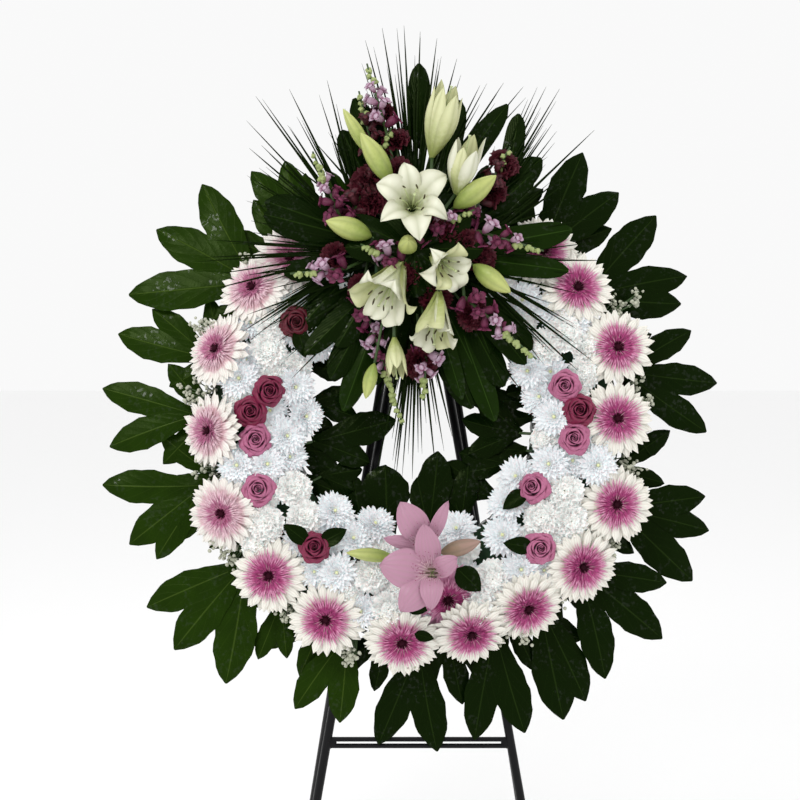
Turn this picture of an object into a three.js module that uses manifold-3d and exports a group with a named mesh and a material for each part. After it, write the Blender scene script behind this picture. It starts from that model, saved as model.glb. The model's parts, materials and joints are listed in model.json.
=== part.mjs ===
import * as THREE from "three";
import { mergeVertices } from "three/addons/utils/BufferGeometryUtils.js";
import Module from "manifold-3d";

// A standing funeral wreath: a ring of floral foam dressed with gerberas, white
// chrysanthemums and carnations, roses and glossy lobed leaves, with a spray of
// lilies, snapdragons and palm at the top, tied to a folding steel easel.
// Millimetres. X is to the right, Y to the back, Z up, and the floor is Z = 0.
// The wreath and the front frame are drawn upright, then leaned back together.

const wasm = await Module();
wasm.setup();

const degrees = THREE.MathUtils.degToRad;
const GAP = 0.3; // between pieces that touch

// Easel
const LEAN = degrees(12); // front frame, back from upright
const HINGE_UP = 1221; // along the leaning frame, from the floor to the hinge
const TUBE_R = 7;
const TUBE_SIDES = 10;
const LEG_BACK = TUBE_R + GAP; // front leg's axis behind the tray's back face
const FOOT_SPREAD = 218; // each front foot from the middle
const FRONT_HEAD_SPREAD = 8.5; // front legs at the hinge tube
const REAR_FOOT_SPREAD = 215;
const REAR_HEAD_SPREAD = 24; // rear legs at their knuckles
const REAR_LEAN = degrees(15.4); // rear frame, forward from upright
const KNUCKLE_R = 9;
const HINGE_BACK = KNUCKLE_R + 1.5; // the hinge's axis, clear of the tray
const KNUCKLE_BORE_R = 4.9;
const PIN_R = 4.2;
const PIN_HEAD_R = 6.5;
const FRONT_KNUCKLE_HALF = 16;
const REAR_KNUCKLE_LENGTH = 15;
const CROSSBAR_R = 4;
const CROSSBAR_UP = 398; // lower rod, along the leaning frame
const CROSSBAR_PITCH = 10.5;
const FLARE = { length: 16, radius: 6.5 }; // where the two rods meet a leg
const REAR_CROSSBAR_DOWN = 640; // below the hinge, along the rear frame
const CAP_R = 9.5;
const CAP_LENGTH = 26;
const CAP_FLOOR = 4; // rubber below the tube's end
const HOOK_R = 2.5;
const HOOK_UP = 1094; // cross wire, along the leaning frame
const HOOK_REACH = 46;

// Foam ring and its tray, measured from the ring's centre
const RING = new THREE.Vector3(-8, 0, 912);
const RING_INNER = 195;
const RING_OUTER = 330;
const RING_SIDES = 20;
const TRAY_DEPTH = 8;
const FOAM_FRONT = 68;
const FOAM_SHOULDER = 48;
const FOAM_CHAMFER = 20;
const BLOCK = { x: 0, z: 269, width: 124, height: 94, depth: 72 }; // spray's foam

// The flowers' faces lie on a dome over the ring
const DOME = { radius: 270, half: 124, base: 46, rise: 54 };
const STEM_R = 3.4;
const STEM_REACH = 60;
const HOLE_GROWTH = 1.0;

// Blooms: x and z from the ring's centre, then how far the face tips outward
const GERBERA = { radius: 62, held: 34 }; // `held` is what it keeps from a neighbour
const GERBERAS = {
  gerberas_right_top: [[261, 219, 14], [206, 278, 14]],
  gerberas_right_upper: [[325, 123, 10], [322, 8, 10]],
  gerberas_right_lower: [[320, -128, 12], [266, -226, 24]],
  gerberas_lower_right: [[179, -291, 32], [90, -331, 36]],
  gerberas_bottom: [[53, -277, 22], [-19, -344, 26]],
  gerberas_lower_left: [[-139, -309, 15], [-229, -240, 10]],
  gerbera_left_lower: [[-304, -142, 24]],
  gerbera_left: [[-326, -11, 40]],
  gerberas_left_upper: [[-315, 120, 40], [-258, 219, 30], [-198, 267, 14]],
};

const MUM = { radius: 36, held: 24 };
const CARNATION = { radius: 31, held: 22 };
const WHITE_BLOOMS = {
  white_flowers_left_upper: {
    mums: [[-278, 72], [-189, 59], [-157, 130]],
    carnations: [[-230, 118], [-226, 162]],
  },
  white_flowers_left: {
    mums: [[-173, 13], [-202, -19], [-232, -64], [-280, -66]],
    carnations: [[-190, -101], [-234, -157], [-173, -147]],
  },
  white_flowers_bottom_left: {
    mums: [[-126, -138], [-62, -158], [-96, -181], [-122, -235]],
    carnations: [[-67, -238], [-40, -291]],
  },
  white_flowers_bottom_right: {
    mums: [[67, -166], [139, -176], [147, -125], [162, -83], [168, -230]],
    carnations: [[123, -245], [99, -287]],
  },
  white_flowers_right: {
    mums: [[222, 11], [213, -64], [290, -66], [181, 85]],
    carnations: [[237, -107], [200, -149], [246, -154], [238, 144], [205, 122]],
  },
};

const ROSE = { radius: 25, held: 25 };
const ROSE_PROUD = 16;
const ROSES = {
  roses_right: [[238, 59], [261, 20], [252, -24]],
  rose_right_lower: [[186, -101]],
  rose_bottom_right: [[197, -197]],
  rose_left_top: [[-187, 160]],
  roses_left: [[-229, 51], [-258, 18], [-250, -26]],
  rose_left_lower: [[-245, -104]],
  rose_bottom_left: [[-157, -195]],
};

// Lobed leaves: the blade's heart, each lobe's tip, and the layer it lies in
const LEAF = { thickness: 1, valley: 0.5, width: 0.33, droop: 10, back: 15, front: 27 };
const OUTER_LEAVES = {
  leaves_right_top: [
    { heart: [208, 284], tips: [[333, 392], [274, 456]], layer: LEAF.front },
    { heart: [280, 213], tips: [[438, 197], [446, 261], [395, 355]], layer: LEAF.back },
  ],
  leaves_right: [
    { heart: [340, 90], tips: [[470, -14], [493, 67], [448, 165]], layer: LEAF.front },
  ],
  leaves_right_lower: [
    { heart: [327, -130], tips: [[450, -250], [480, -165], [474, -115]], layer: LEAF.back },
    { heart: [266, -231], tips: [[315, -403], [402, -339], [408, -248]], layer: LEAF.front },
  ],
  leaves_bottom_right: [
    { heart: [203, -288], tips: [[237, -472], [280, -440]], layer: LEAF.back },
    { heart: [130, -327], tips: [[91, -501], [171, -493]], layer: LEAF.front },
  ],
  leaves_bottom: [
    { heart: [8, -352], tips: [[-54, -512], [26, -523]], layer: LEAF.back },
    { heart: [-107, -335], tips: [[-197, -448], [-114, -475]], layer: LEAF.front },
  ],
  leaves_left_lower: [
    { heart: [-214, -280], tips: [[-250, -375], [-206, -373]], layer: LEAF.back },
    { heart: [-272, -223], tips: [[-432, -288], [-390, -355], [-290, -414]], layer: LEAF.front },
  ],
  leaves_left: [
    { heart: [-339, -94], tips: [[-506, -104], [-462, -189], [-422, -210]], layer: LEAF.back },
    { heart: [-351, 19], tips: [[-506, 66], [-496, -24]], layer: LEAF.front },
  ],
  leaves_left_upper: [
    { heart: [-333, 114], tips: [[-427, 197], [-486, 147]], layer: LEAF.back },
    { heart: [-261, 236], tips: [[-354, 398], [-418, 333], [-466, 216]], layer: LEAF.front },
    { heart: [-173, 306], tips: [[-219, 440], [-262, 429]], layer: LEAF.back },
  ],
};
const INNER_LEAVES = {
  leaves_inner_left: [
    { heart: [-160, -24], tips: [[-70, -53], [-29, 11]], layer: LEAF.front },
  ],
  leaves_inner_bottom: [
    { heart: [-86, -152], tips: [[-50, -59], [-98, -75]], layer: LEAF.back },
    { heart: [24, -168], tips: [[43, -40], [4, -82]], layer: LEAF.front },
  ],
  leaves_inner_right: [
    { heart: [132, -112], tips: [[72, -104], [50, -61]], layer: LEAF.back },
    { heart: [170, -10], tips: [[86, -42], [77, 6], [106, 52]], layer: LEAF.front },
  ],
};

// Spray: every stem leaves the foam block at its group's hub. Points are x and z
// from the ring's centre, then the distance in front of the tray.
const LILY = { radius: 56, length: 62 };
const LILIES = {
  lilies_top: {
    hub: [22, 300, 128],
    heads: [
      { centre: [38, 470, 172], facing: [0.15, 0.85, 0.5], size: 1 },
      { centre: [76, 402, 178], facing: [0.5, 0.35, 0.8], size: 1 },
    ],
    buds: [[[61, 336, 150], [128, 384, 168]]],
  },
  lilies_middle: {
    hub: [-8, 292, 128],
    heads: [{ centre: [-4, 352, 204], facing: [0.02, 0.1, 1], size: 1.1 }],
    buds: [[[-36, 372, 160], [-84, 450, 176]], [[-70, 420, 150], [-112, 492, 160]]],
  },
  lilies_right: {
    hub: [34, 254, 132],
    heads: [
      { centre: [56, 244, 192], facing: [0.35, -0.25, 0.9], size: 0.9 },
      { centre: [28, 152, 184], facing: [-0.05, -0.75, 0.65], size: 0.9 },
    ],
    buds: [[[92, 246, 150], [150, 200, 164]]],
  },
  lilies_left: {
    hub: [-32, 250, 132],
    heads: [{ centre: [-58, 184, 194], facing: [-0.45, -0.5, 0.75], size: 1.05 }],
    buds: [
      [[-66, 290, 150], [-138, 312, 168]],
      [[-34, 112, 150], [-30, 52, 152]],
      [[-70, 92, 140], [-86, 36, 134]],
    ],
  },
};
const PINK_LILY = {
  centre: [22, -232, 169],
  facing: [-0.2, -0.25, 0.95],
  size: 1.42,
  root: [2, -232, 42],
  buds: [[[-30, -212, 118], [-106, -204, 128]], [[50, -200, 118], [92, -190, 126]]],
};

// Snapdragon spikes: foot and tip of each, out of its group's hub
const SPIKE = { stem: 3.2, bell: 12, reach: 17, bells: 8 };
const SPIKES = {
  snapdragons_left: {
    hub: [-58, 262, 116],
    spikes: [
      [[-108, 240, 146], [-194, 230, 160]],
      [[-112, 312, 140], [-160, 426, 150]],
      [[-84, 206, 118], [-18, -4, 118]],
    ],
  },
  snapdragons_right: {
    hub: [58, 272, 116],
    spikes: [
      [[100, 300, 146], [202, 266, 160]],
      [[78, 196, 146], [190, 96, 158]],
      [[74, 320, 128], [96, 350, 132]],
    ],
  },
  snapdragons_top: {
    hub: [-14, 312, 120],
    spikes: [[[-46, 470, 132], [-75, 571, 136]]],
  },
};

// Palm needles and broad blades: foot, then the tips, out of a hub behind the lilies
const NEEDLE_R = 2.6;
const FOLIAGE = {
  palm_left: {
    hub: [-58, 276, 94],
    needles: [
      [-331, 261, 128], [-318, 288, 132], [-310, 213, 126], [-270, 144, 122], [-246, 152, 130],
      [-253, 523, 118], [-243, 443, 118], [-262, 437, 124], [-199, 533, 122], [-139, 549, 118],
    ],
    blades: [[[-70, 290, 104], [-238, 330, 128], 46], [[-70, 240, 100], [-150, 130, 112], 44]],
  },
  palm_top: {
    hub: [0, 312, 94],
    needles: [
      [-78, 616, 110], [-51, 635, 116], [-16, 637, 122], [10, 629, 116], [37, 619, 112],
      [69, 587, 108], [106, 544, 104], [144, 549, 100], [176, 544, 96],
    ],
    blades: [[[-10, 330, 100], [-96, 520, 116], 40], [[10, 330, 98], [150, 512, 108], 34]],
  },
  palm_right: {
    hub: [58, 262, 94],
    needles: [
      [213, 544, 96], [234, 539, 102], [221, 480, 108], [288, 469, 112], [298, 256, 128],
      [282, 96, 122], [258, 80, 128], [240, 300, 126],
    ],
    blades: [[[72, 290, 98], [190, 400, 112], 40], [[70, 236, 100], [120, 110, 110], 40]],
  },
  palm_bottom: {
    hub: [4, 226, 94],
    needles: [
      [-35, -24, 96], [-30, -64, 104], [-29, -85, 92], [-3, -88, 100], [34, -72, 94],
      [60, -20, 100],
    ],
    blades: [[[14, 200, 100], [92, 24, 96], 42], [[-10, 200, 96], [-70, 60, 92], 34]],
  },
};

function solid(geometry) {
  const bare = geometry.index ? geometry.toNonIndexed() : geometry.clone();
  bare.deleteAttribute("normal");
  bare.deleteAttribute("uv");
  const merged = mergeVertices(bare, 1e-4);
  const index = merged.index.array;
  const kept = [];
  for (let i = 0; i < index.length; i += 3) {
    const [a, b, c] = [index[i], index[i + 1], index[i + 2]];
    if (a !== b && b !== c && c !== a) kept.push(a, b, c);
  }
  const build = (triangles) =>
    new wasm.Manifold(
      new wasm.Mesh({
        numProp: 3,
        vertProperties: merged.attributes.position.array,
        triVerts: new Uint32Array(triangles),
      }),
    );
  const made = build(kept);
  return made.volume() < 0 ? build(kept.reverse()) : made;
}

const fuse = (bodies) => wasm.Manifold.union(bodies);

// The largest piece of a body, without the scraps that a cut leaves loose.
function largest(body) {
  return body.decompose().reduce((a, b) => (b.volume() > a.volume() ? b : a));
}

function meshOf(name, body, material) {
  const made = body.getMesh();
  const positions = new Float32Array(made.numVert * 3);
  for (let i = 0; i < made.numVert; i++) {
    const at = i * made.numProp;
    positions.set(made.vertProperties.subarray(at, at + 3), i * 3);
  }
  const geometry = new THREE.BufferGeometry();
  geometry.setAttribute("position", new THREE.BufferAttribute(positions, 3));
  geometry.setIndex(new THREE.BufferAttribute(made.triVerts, 1));
  geometry.computeVertexNormals();
  const mesh = new THREE.Mesh(geometry, material);
  mesh.name = name;
  return mesh;
}

function rod(from, to, radius, sides, endRadius = radius) {
  const along = new THREE.Vector3().subVectors(to, from);
  const geometry = endRadius
    ? new THREE.CylinderGeometry(endRadius, radius, along.length(), sides)
    : new THREE.ConeGeometry(radius, along.length(), sides);
  geometry.translate(0, along.length() / 2, 0);
  aim(geometry, from, along.normalize());
  return geometry;
}

function aim(geometry, origin, direction) {
  const turn = new THREE.Quaternion().setFromUnitVectors(
    new THREE.Vector3(0, 1, 0),
    direction,
  );
  geometry.applyQuaternion(turn);
  geometry.translate(origin.x, origin.y, origin.z);
  return geometry;
}

// A turned form whose rows are pushed in and out by reshape(row, side), which
// gives a share of the radius and a rise.
function turned(profile, sides, reshape) {
  const points = profile.map(([r, y]) => new THREE.Vector2(r, y));
  const geometry = new THREE.LatheGeometry(points, sides);
  const position = geometry.attributes.position;
  for (let i = 0; i < position.count; i++) {
    const row = i % profile.length;
    const side = Math.floor(i / profile.length) % sides;
    const [share, rise] = reshape(row, side);
    position.setXYZ(
      i,
      position.getX(i) * share,
      position.getY(i) + rise,
      position.getZ(i) * share,
    );
  }
  return geometry;
}

// A point of the wreath: x and z from the ring's centre, and how far in front of
// the tray's back face.
const at = (x, z, front) => new THREE.Vector3(RING.x + x, -front, RING.z + z);
const FRONT = new THREE.Vector3(0, -1, 0);

// Where a bloom's face sits on the dome, and the way it looks.
function seat([x, z, tip], proud = 0) {
  const radius = Math.hypot(x, z);
  const across = THREE.MathUtils.clamp((radius - DOME.radius) / DOME.half, -0.95, 0.95);
  const front = DOME.base + DOME.rise * Math.sqrt(1 - across * across) + proud;
  const tilt = tip === undefined ? Math.asin(across) * 0.7 : degrees(tip);
  const facing = new THREE.Vector3(
    (x / radius) * Math.sin(tilt),
    -Math.cos(tilt),
    (z / radius) * Math.sin(tilt),
  );
  return { centre: at(x, z, front), facing };
}

// Stems and wires stand in plain holes of the foam.
const holes = [];

function pinned(from, to) {
  const along = new THREE.Vector3().subVectors(to, from).normalize();
  const before = from.clone().addScaledVector(along, -HOLE_GROWTH / 2);
  const after = to.clone().addScaledVector(along, HOLE_GROWTH / 2);
  holes.push(solid(rod(before, after, STEM_R + HOLE_GROWTH, 3)));
  return solid(rod(from, to, STEM_R, 3));
}

// Bloom forms, each facing +Y about its own centre
const even = (side) => side % 2 === 0;

function gerberaForm() {
  const r = GERBERA.radius;
  const profile = [[0, -13], [r, -2], [34, 2], [41, 9], [0, 6]];
  const star = (row, side) => {
    if (row === 1) return even(side) ? [0.74, 1] : [1, 0];
    if (row === 3) return even(side) ? [1, 0] : [0.7, -3];
    return [1, 0];
  };
  return turned(profile, 16, star);
}

function mumForm() {
  const profile = [[0, -18], [MUM.radius, -4], [19, 1], [26, 10], [0, 8]];
  const spikes = (row, side) => {
    if (row === 1) return even(side) ? [0.66, 0] : [1, 0];
    if (row === 3) return even(side) ? [1, 0] : [0.62, -1];
    return [1, 0];
  };
  return turned(profile, 10, spikes);
}

function carnationForm() {
  const profile = [[0, -20], [CARNATION.radius, -4], [21, 9], [0, 13]];
  const ruffle = (row, side) => {
    if (row === 1) return even(side) ? [0.78, 3] : [1, -2];
    if (row === 2) return even(side) ? [1.15, 0] : [0.62, -4];
    return [1, 0];
  };
  return turned(profile, 8, ruffle);
}

function roseForm() {
  const r = ROSE.radius;
  const profile = [[0, -22], [19, -10], [r, 4], [16, 6], [14, 13], [0, 8]];
  const whorl = (row, side) => {
    if (row === 2) return side % 3 === 0 ? [0.84, 2] : [1, 0];
    if (row === 4) return side % 3 === 1 ? [0.8, -3] : [1, 0];
    return [1, 0];
  };
  return turned(profile, 8, whorl);
}

// Each bloom keeps to its own cell, so that blooms of two nodes only touch.
const blooms = [];

function addBlooms(node, kind, form, { radius, held }, places, proud = 0) {
  for (const place of places) {
    const { centre, facing } = seat(place, proud);
    const head = solid(aim(form(), centre, facing));
    const root = centre.clone().addScaledVector(facing, -STEM_REACH - proud);
    const under = centre.clone().addScaledVector(facing, -5);
    blooms.push({ node, kind, centre, radius, held, head, root, under });
  }
}

function inCell(bloom) {
  let head = bloom.head;
  for (const other of blooms) {
    if (other.node === bloom.node) continue;
    const away = new THREE.Vector3().subVectors(bloom.centre, other.centre);
    const distance = away.length();
    if (distance > bloom.radius + other.radius - 3) continue;
    away.divideScalar(distance);
    const share = (distance * other.held) / (other.held + bloom.held);
    const offset = away.dot(other.centre) + share + GAP / 2;
    head = head.trimByPlane(away.toArray(), offset);
  }
  return head;
}

// A thin blade: points of its middle surface, triangles between them that turn
// anticlockwise as seen along `through`, and a thickness across it.
function plate(points, triangles, through, thickness) {
  const half = through.clone().multiplyScalar(thickness / 2);
  const front = points.map((p) => p.clone().add(half));
  const back = points.map((p) => p.clone().sub(half));
  const count = points.length;
  const faces = [];
  const edges = new Map();
  for (const [a, b, c] of triangles) {
    faces.push(a, b, c, c + count, b + count, a + count);
    for (const edge of [[a, b], [b, c], [c, a]]) edges.set(edge.join(), edge);
  }
  for (const [p, q] of edges.values()) {
    if (edges.has([q, p].join())) continue;
    faces.push(q, p, p + count, q, p + count, q + count);
  }
  const geometry = new THREE.BufferGeometry().setFromPoints([...front, ...back]);
  geometry.setIndex(faces);
  return geometry;
}

// Leaves lie in layers that bend back alike towards their tips, so none cross.
function onLayer(v, layer, lift) {
  const beyond = Math.max(0, v.length() - RING_OUTER) / 180;
  return at(v.x, v.y, layer + lift - LEAF.droop * beyond * beyond);
}

// Lobes spread from the leaf's heart, each ridged along its rib.
function lobedLeaf(leaf) {
  const heart = new THREE.Vector2(...leaf.heart);
  const lobes = leaf.tips.map(([x, z]) => new THREE.Vector2(x, z).sub(heart));
  const middle = lobes.reduce((a, b) => a.clone().add(b)).normalize();
  const aside = new THREE.Vector2(-middle.y, middle.x);
  const turnOf = (v) => Math.atan2(v.dot(aside), v.dot(middle));
  lobes.sort((a, b) => turnOf(a) - turnOf(b));
  const points = [];
  const triangles = [];
  const add = (offset, lift) => {
    points.push(onLayer(offset.clone().add(heart), leaf.layer, lift));
    return points.length - 1;
  };
  const base = (side) =>
    add(aside.clone().multiplyScalar(side * 9).addScaledVector(middle, -10), 0);
  const core = add(new THREE.Vector2(), 1);
  const first = base(-1);
  let valley = first;
  lobes.forEach((lobe, i) => {
    const length = lobe.length();
    const turn = turnOf(lobe);
    const spacing = [lobes[i - 1], lobes[i + 1]]
      .filter(Boolean)
      .map((other) => Math.abs(turnOf(other) - turn));
    const half = Math.min(LEAF.width / 2, 0.7 * Math.tan(0.47 * Math.min(...spacing, 1)));
    const out = lobe.clone().normalize();
    const left = new THREE.Vector2(-out.y, out.x);
    const point = (along, across, lift) =>
      add(
        out.clone().multiplyScalar(along * length).addScaledVector(left, across * length),
        lift,
      );
    const [c1, c2] = [point(0.52, -half * 0.8, -1), point(0.76, -half, -2)];
    const [r1, r2, tip] = [point(0.52, 0, 3), point(0.78, 0, 2), point(1, 0, -1)];
    const [d1, d2] = [point(0.52, half * 0.8, -1), point(0.76, half, -2)];
    triangles.push([core, valley, c1], [core, c1, r1], [r1, c1, c2], [r1, c2, r2]);
    triangles.push([r2, c2, tip], [r1, r2, d2], [r1, d2, d1], [r2, tip, d2]);
    triangles.push([core, r1, d1]);
    const next = lobes[i + 1];
    if (next) {
      const between = out.clone().add(next.clone().normalize()).normalize();
      const depth = (LEAF.valley * (length + next.length())) / 2;
      valley = add(between.multiplyScalar(depth), 0);
    } else {
      valley = base(1);
    }
    triangles.push([core, d1, valley]);
  });
  triangles.push([core, valley, first]);
  return solid(plate(points, triangles, FRONT, LEAF.thickness));
}

// A group of leaves springs from one root in the foam.
function leafStalks(leaves) {
  const hearts = leaves.map((leaf) => new THREE.Vector2(...leaf.heart));
  const root = hearts.reduce((a, b) => a.add(b), new THREE.Vector2());
  root.setLength(root.length() > DOME.radius ? RING_OUTER - 22 : RING_INNER + 22);
  const layers = leaves.map((leaf) => leaf.layer);
  const depth = layers.reduce((a, b) => a + b) / layers.length;
  const end = at(root.x, root.y, depth);
  return hearts.map((heart, i) => pinned(end, onLayer(heart, layers[i], 0)));
}

const materials = {
  steel: new THREE.MeshStandardMaterial({ color: 0x0b0b0c, roughness: 0.3, metalness: 0.6 }),
  rubber: new THREE.MeshStandardMaterial({ color: 0x141414, roughness: 0.85 }),
  foam: new THREE.MeshStandardMaterial({ color: 0x1f4a2a, roughness: 0.95 }),
  tray: new THREE.MeshStandardMaterial({ color: 0x16351f, roughness: 0.5 }),
  leaf: new THREE.MeshStandardMaterial({ color: 0x15280c, roughness: 0.35 }),
  gerbera: new THREE.MeshStandardMaterial({ color: 0xf0d9e2, roughness: 0.6 }),
  white: new THREE.MeshStandardMaterial({ color: 0xf4f6fb, roughness: 0.6 }),
  rose: new THREE.MeshStandardMaterial({ color: 0xa33d6c, roughness: 0.55 }),
  lily: new THREE.MeshStandardMaterial({ color: 0xdde2c8, roughness: 0.55 }),
  pinkLily: new THREE.MeshStandardMaterial({ color: 0xcf9fb4, roughness: 0.55 }),
  snapdragon: new THREE.MeshStandardMaterial({ color: 0xa2467f, roughness: 0.6 }),
  palm: new THREE.MeshStandardMaterial({ color: 0x24400f, roughness: 0.45 }),
};

const upright = new THREE.Group();
upright.rotation.x = -LEAN;

function ringNodes() {
  const tray = new THREE.LatheGeometry(
    [
      [RING_INNER - 4, 0],
      [RING_OUTER + 4, 0],
      [RING_OUTER + 4, TRAY_DEPTH - GAP],
      [RING_INNER - 4, TRAY_DEPTH - GAP],
      [RING_INNER - 4, 0],
    ].map(([r, y]) => new THREE.Vector2(r, y)),
    RING_SIDES,
  );
  const foam = new THREE.LatheGeometry(
    [
      [RING_INNER, TRAY_DEPTH],
      [RING_OUTER, TRAY_DEPTH],
      [RING_OUTER, FOAM_SHOULDER],
      [RING_OUTER - FOAM_CHAMFER, FOAM_FRONT],
      [RING_INNER + FOAM_CHAMFER, FOAM_FRONT],
      [RING_INNER, FOAM_SHOULDER],
      [RING_INNER, TRAY_DEPTH],
    ].map(([r, y]) => new THREE.Vector2(r, y)),
    RING_SIDES,
  );
  const trayBody = solid(aim(tray, RING, FRONT));
  const foamBody = solid(aim(foam, RING, FRONT)).subtract(fuse(holes));
  upright.add(meshOf("ring_tray", trayBody, materials.tray));
  upright.add(meshOf("foam_ring", foamBody, materials.foam));
}

function flowerNodes() {
  for (const [node, places] of Object.entries(GERBERAS))
    addBlooms(node, "gerbera", gerberaForm, GERBERA, places);
  for (const [node, bank] of Object.entries(WHITE_BLOOMS)) {
    addBlooms(node, "white", mumForm, MUM, bank.mums);
    addBlooms(node, "white", carnationForm, CARNATION, bank.carnations);
  }
  for (const [node, places] of Object.entries(ROSES))
    addBlooms(node, "rose", roseForm, ROSE, places, ROSE_PROUD);
  const nodes = new Map();
  for (const bloom of blooms) {
    bloom.head = inCell(bloom);
    if (!nodes.has(bloom.node)) nodes.set(bloom.node, []);
    nodes.get(bloom.node).push(bloom);
  }
  for (const [node, group] of nodes) {
    const ties = wires(group);
    const stemmed = new Set([group[0], ...ties.flat()]);
    const body = fuse([
      ...group.map((bloom) => bloom.head),
      ...[...stemmed].map((bloom) => pinned(bloom.root, bloom.centre)),
      ...ties.map(([a, b]) => solid(rod(a.under, b.under, 2.4, 3))),
    ]);
    upright.add(meshOf(node, largest(body), materials[group[0].kind]));
  }
}

// Pairs of blooms to be wired together under their heads: the neighbours in a group
// whose heads don't touch.
function wires(group) {
  const joined = [group[0]];
  const loose = group.slice(1);
  const made = [];
  while (loose.length) {
    const pairs = joined.flatMap((a) => loose.map((b) => [a, b]));
    const span = ([a, b]) => a.centre.distanceTo(b.centre);
    const [from, to] = pairs.reduce((p, q) => (span(q) < span(p) ? q : p));
    if (from.head.intersect(to.head).volume() < 30) made.push([from, to]);
    joined.push(to);
    loose.splice(loose.indexOf(to), 1);
  }
  return made;
}

function leafNodes() {
  for (const [node, leaves] of Object.entries({ ...OUTER_LEAVES, ...INNER_LEAVES })) {
    const bodies = [...leaves.map(lobedLeaf), ...leafStalks(leaves)];
    upright.add(meshOf(node, fuse(bodies), materials.leaf));
  }
}

// Spray forms: each faces or grows along +Y from its own foot.
function lilyForm(size) {
  const r = LILY.radius * size;
  const l = LILY.length * size;
  const profile = [
    [0, -l], [6, -l * 0.85], [17 * size, -l * 0.3], [r, l * 0.1],
    [13 * size, -l * 0.2], [4, -l * 0.55], [0, -l * 0.6],
  ];
  const petals = (row, side) => {
    if (row === 3) return even(side) ? [1, -6 * size] : [0.44, -10 * size];
    if (row === 2) return even(side) ? [1.1, 0] : [0.9, 0];
    return [1, 0];
  };
  return turned(profile, 12, petals);
}

function stamens(size) {
  const foot = new THREE.Vector3(0, -LILY.length * size * 0.62, 0);
  const around = (i) => {
    const turn = (i / 3) * Math.PI * 2;
    const out = 15 * size;
    return new THREE.Vector3(out * Math.cos(turn), 6 * size, out * Math.sin(turn));
  };
  return [0, 1, 2].map((i) => rod(foot, around(i), 2.2, 3, 3.2));
}

function lilyHead(head) {
  const centre = at(...head.centre);
  const [fx, fz, fFront] = head.facing;
  const facing = new THREE.Vector3(fx, -fFront, fz).normalize();
  const parts = [lilyForm(head.size), ...stamens(head.size)];
  const foot = centre.clone().addScaledVector(facing, -LILY.length * head.size * 0.94);
  return { foot, bodies: parts.map((g) => solid(aim(g, centre, facing))) };
}

function bud([foot, tip]) {
  const [from, to] = [at(...foot), at(...tip)];
  const along = new THREE.Vector3().subVectors(to, from);
  const l = along.length();
  const profile = [[0, 0], [5, l * 0.12], [10, l * 0.6], [6, l * 0.88], [0, l]];
  return solid(aim(turned(profile, 5, () => [1, 0]), from, along.normalize()));
}

function lilyStem(root, group, depth) {
  const bodies = [];
  const hub = root.clone().setY(root.y - depth);
  bodies.push(pinned(root, hub), knot(hub));
  for (const head of group.heads) {
    const { foot, bodies: parts } = lilyHead(head);
    bodies.push(...parts, solid(rod(hub, foot, STEM_R, 3)));
  }
  for (const pair of group.buds) {
    const inside = at(...pair[0]).lerp(at(...pair[1]), 0.1);
    bodies.push(bud(pair), solid(rod(hub, inside, 2.8, 3)));
  }
  return fuse(bodies);
}

function spike([foot, tip], hub) {
  const [from, to] = [at(...foot), at(...tip)];
  const along = new THREE.Vector3().subVectors(to, from);
  const bodies = [solid(rod(hub, from, SPIKE.stem, 3)), solid(rod(from, to, SPIKE.stem, 3, 1.5))];
  const length = along.length();
  along.normalize();
  const aside = new THREE.Vector3().crossVectors(along, FRONT).normalize();
  const ahead = new THREE.Vector3().crossVectors(aside, along).normalize();
  const bells = Math.max(3, Math.round(SPIKE.bells * Math.min(1, length / 120)));
  for (let i = 0; i < bells; i++) {
    const share = i / bells;
    const shrink = 1 - 0.6 * share;
    const turn = i * 2.4;
    const out = aside.clone().multiplyScalar(Math.cos(turn)).addScaledVector(ahead, Math.sin(turn));
    const seatAt = from.clone().addScaledVector(along, length * share);
    const mouth = seatAt
      .clone()
      .addScaledVector(out, SPIKE.reach * shrink)
      .addScaledVector(along, 7 * shrink);
    bodies.push(solid(rod(mouth, seatAt, SPIKE.bell * shrink, 4, 0)));
  }
  return bodies;
}

// A broad blade, folded along its middle.
function broadBlade([foot, tip, width]) {
  const [from, to] = [at(...foot), at(...tip)];
  const along = new THREE.Vector3().subVectors(to, from);
  const length = along.length();
  along.normalize();
  const left = new THREE.Vector3().crossVectors(FRONT, along).normalize();
  const point = (share, across, lift) =>
    from
      .clone()
      .addScaledVector(along, share * length)
      .addScaledVector(left, across * width)
      .addScaledVector(FRONT, lift);
  const points = [
    point(0, 0, 0),
    point(0.3, 0.4, -2), point(0.3, 0, 3), point(0.3, -0.4, -2),
    point(0.65, 0.42, -2), point(0.65, 0, 3), point(0.65, -0.42, -2),
    point(1, 0, -2),
  ];
  const triangles = [
    [0, 2, 1], [0, 3, 2], [1, 2, 4], [2, 5, 4], [2, 3, 5], [3, 6, 5], [4, 5, 7], [5, 6, 7],
  ];
  return solid(plate(points, triangles, FRONT, LEAF.thickness));
}

function pinkLilyNode() {
  const group = { heads: [PINK_LILY], buds: PINK_LILY.buds };
  const body = lilyStem(at(...PINK_LILY.root), group, 40);
  upright.add(meshOf("pink_lily", body, materials.pinkLily));
}

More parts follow.
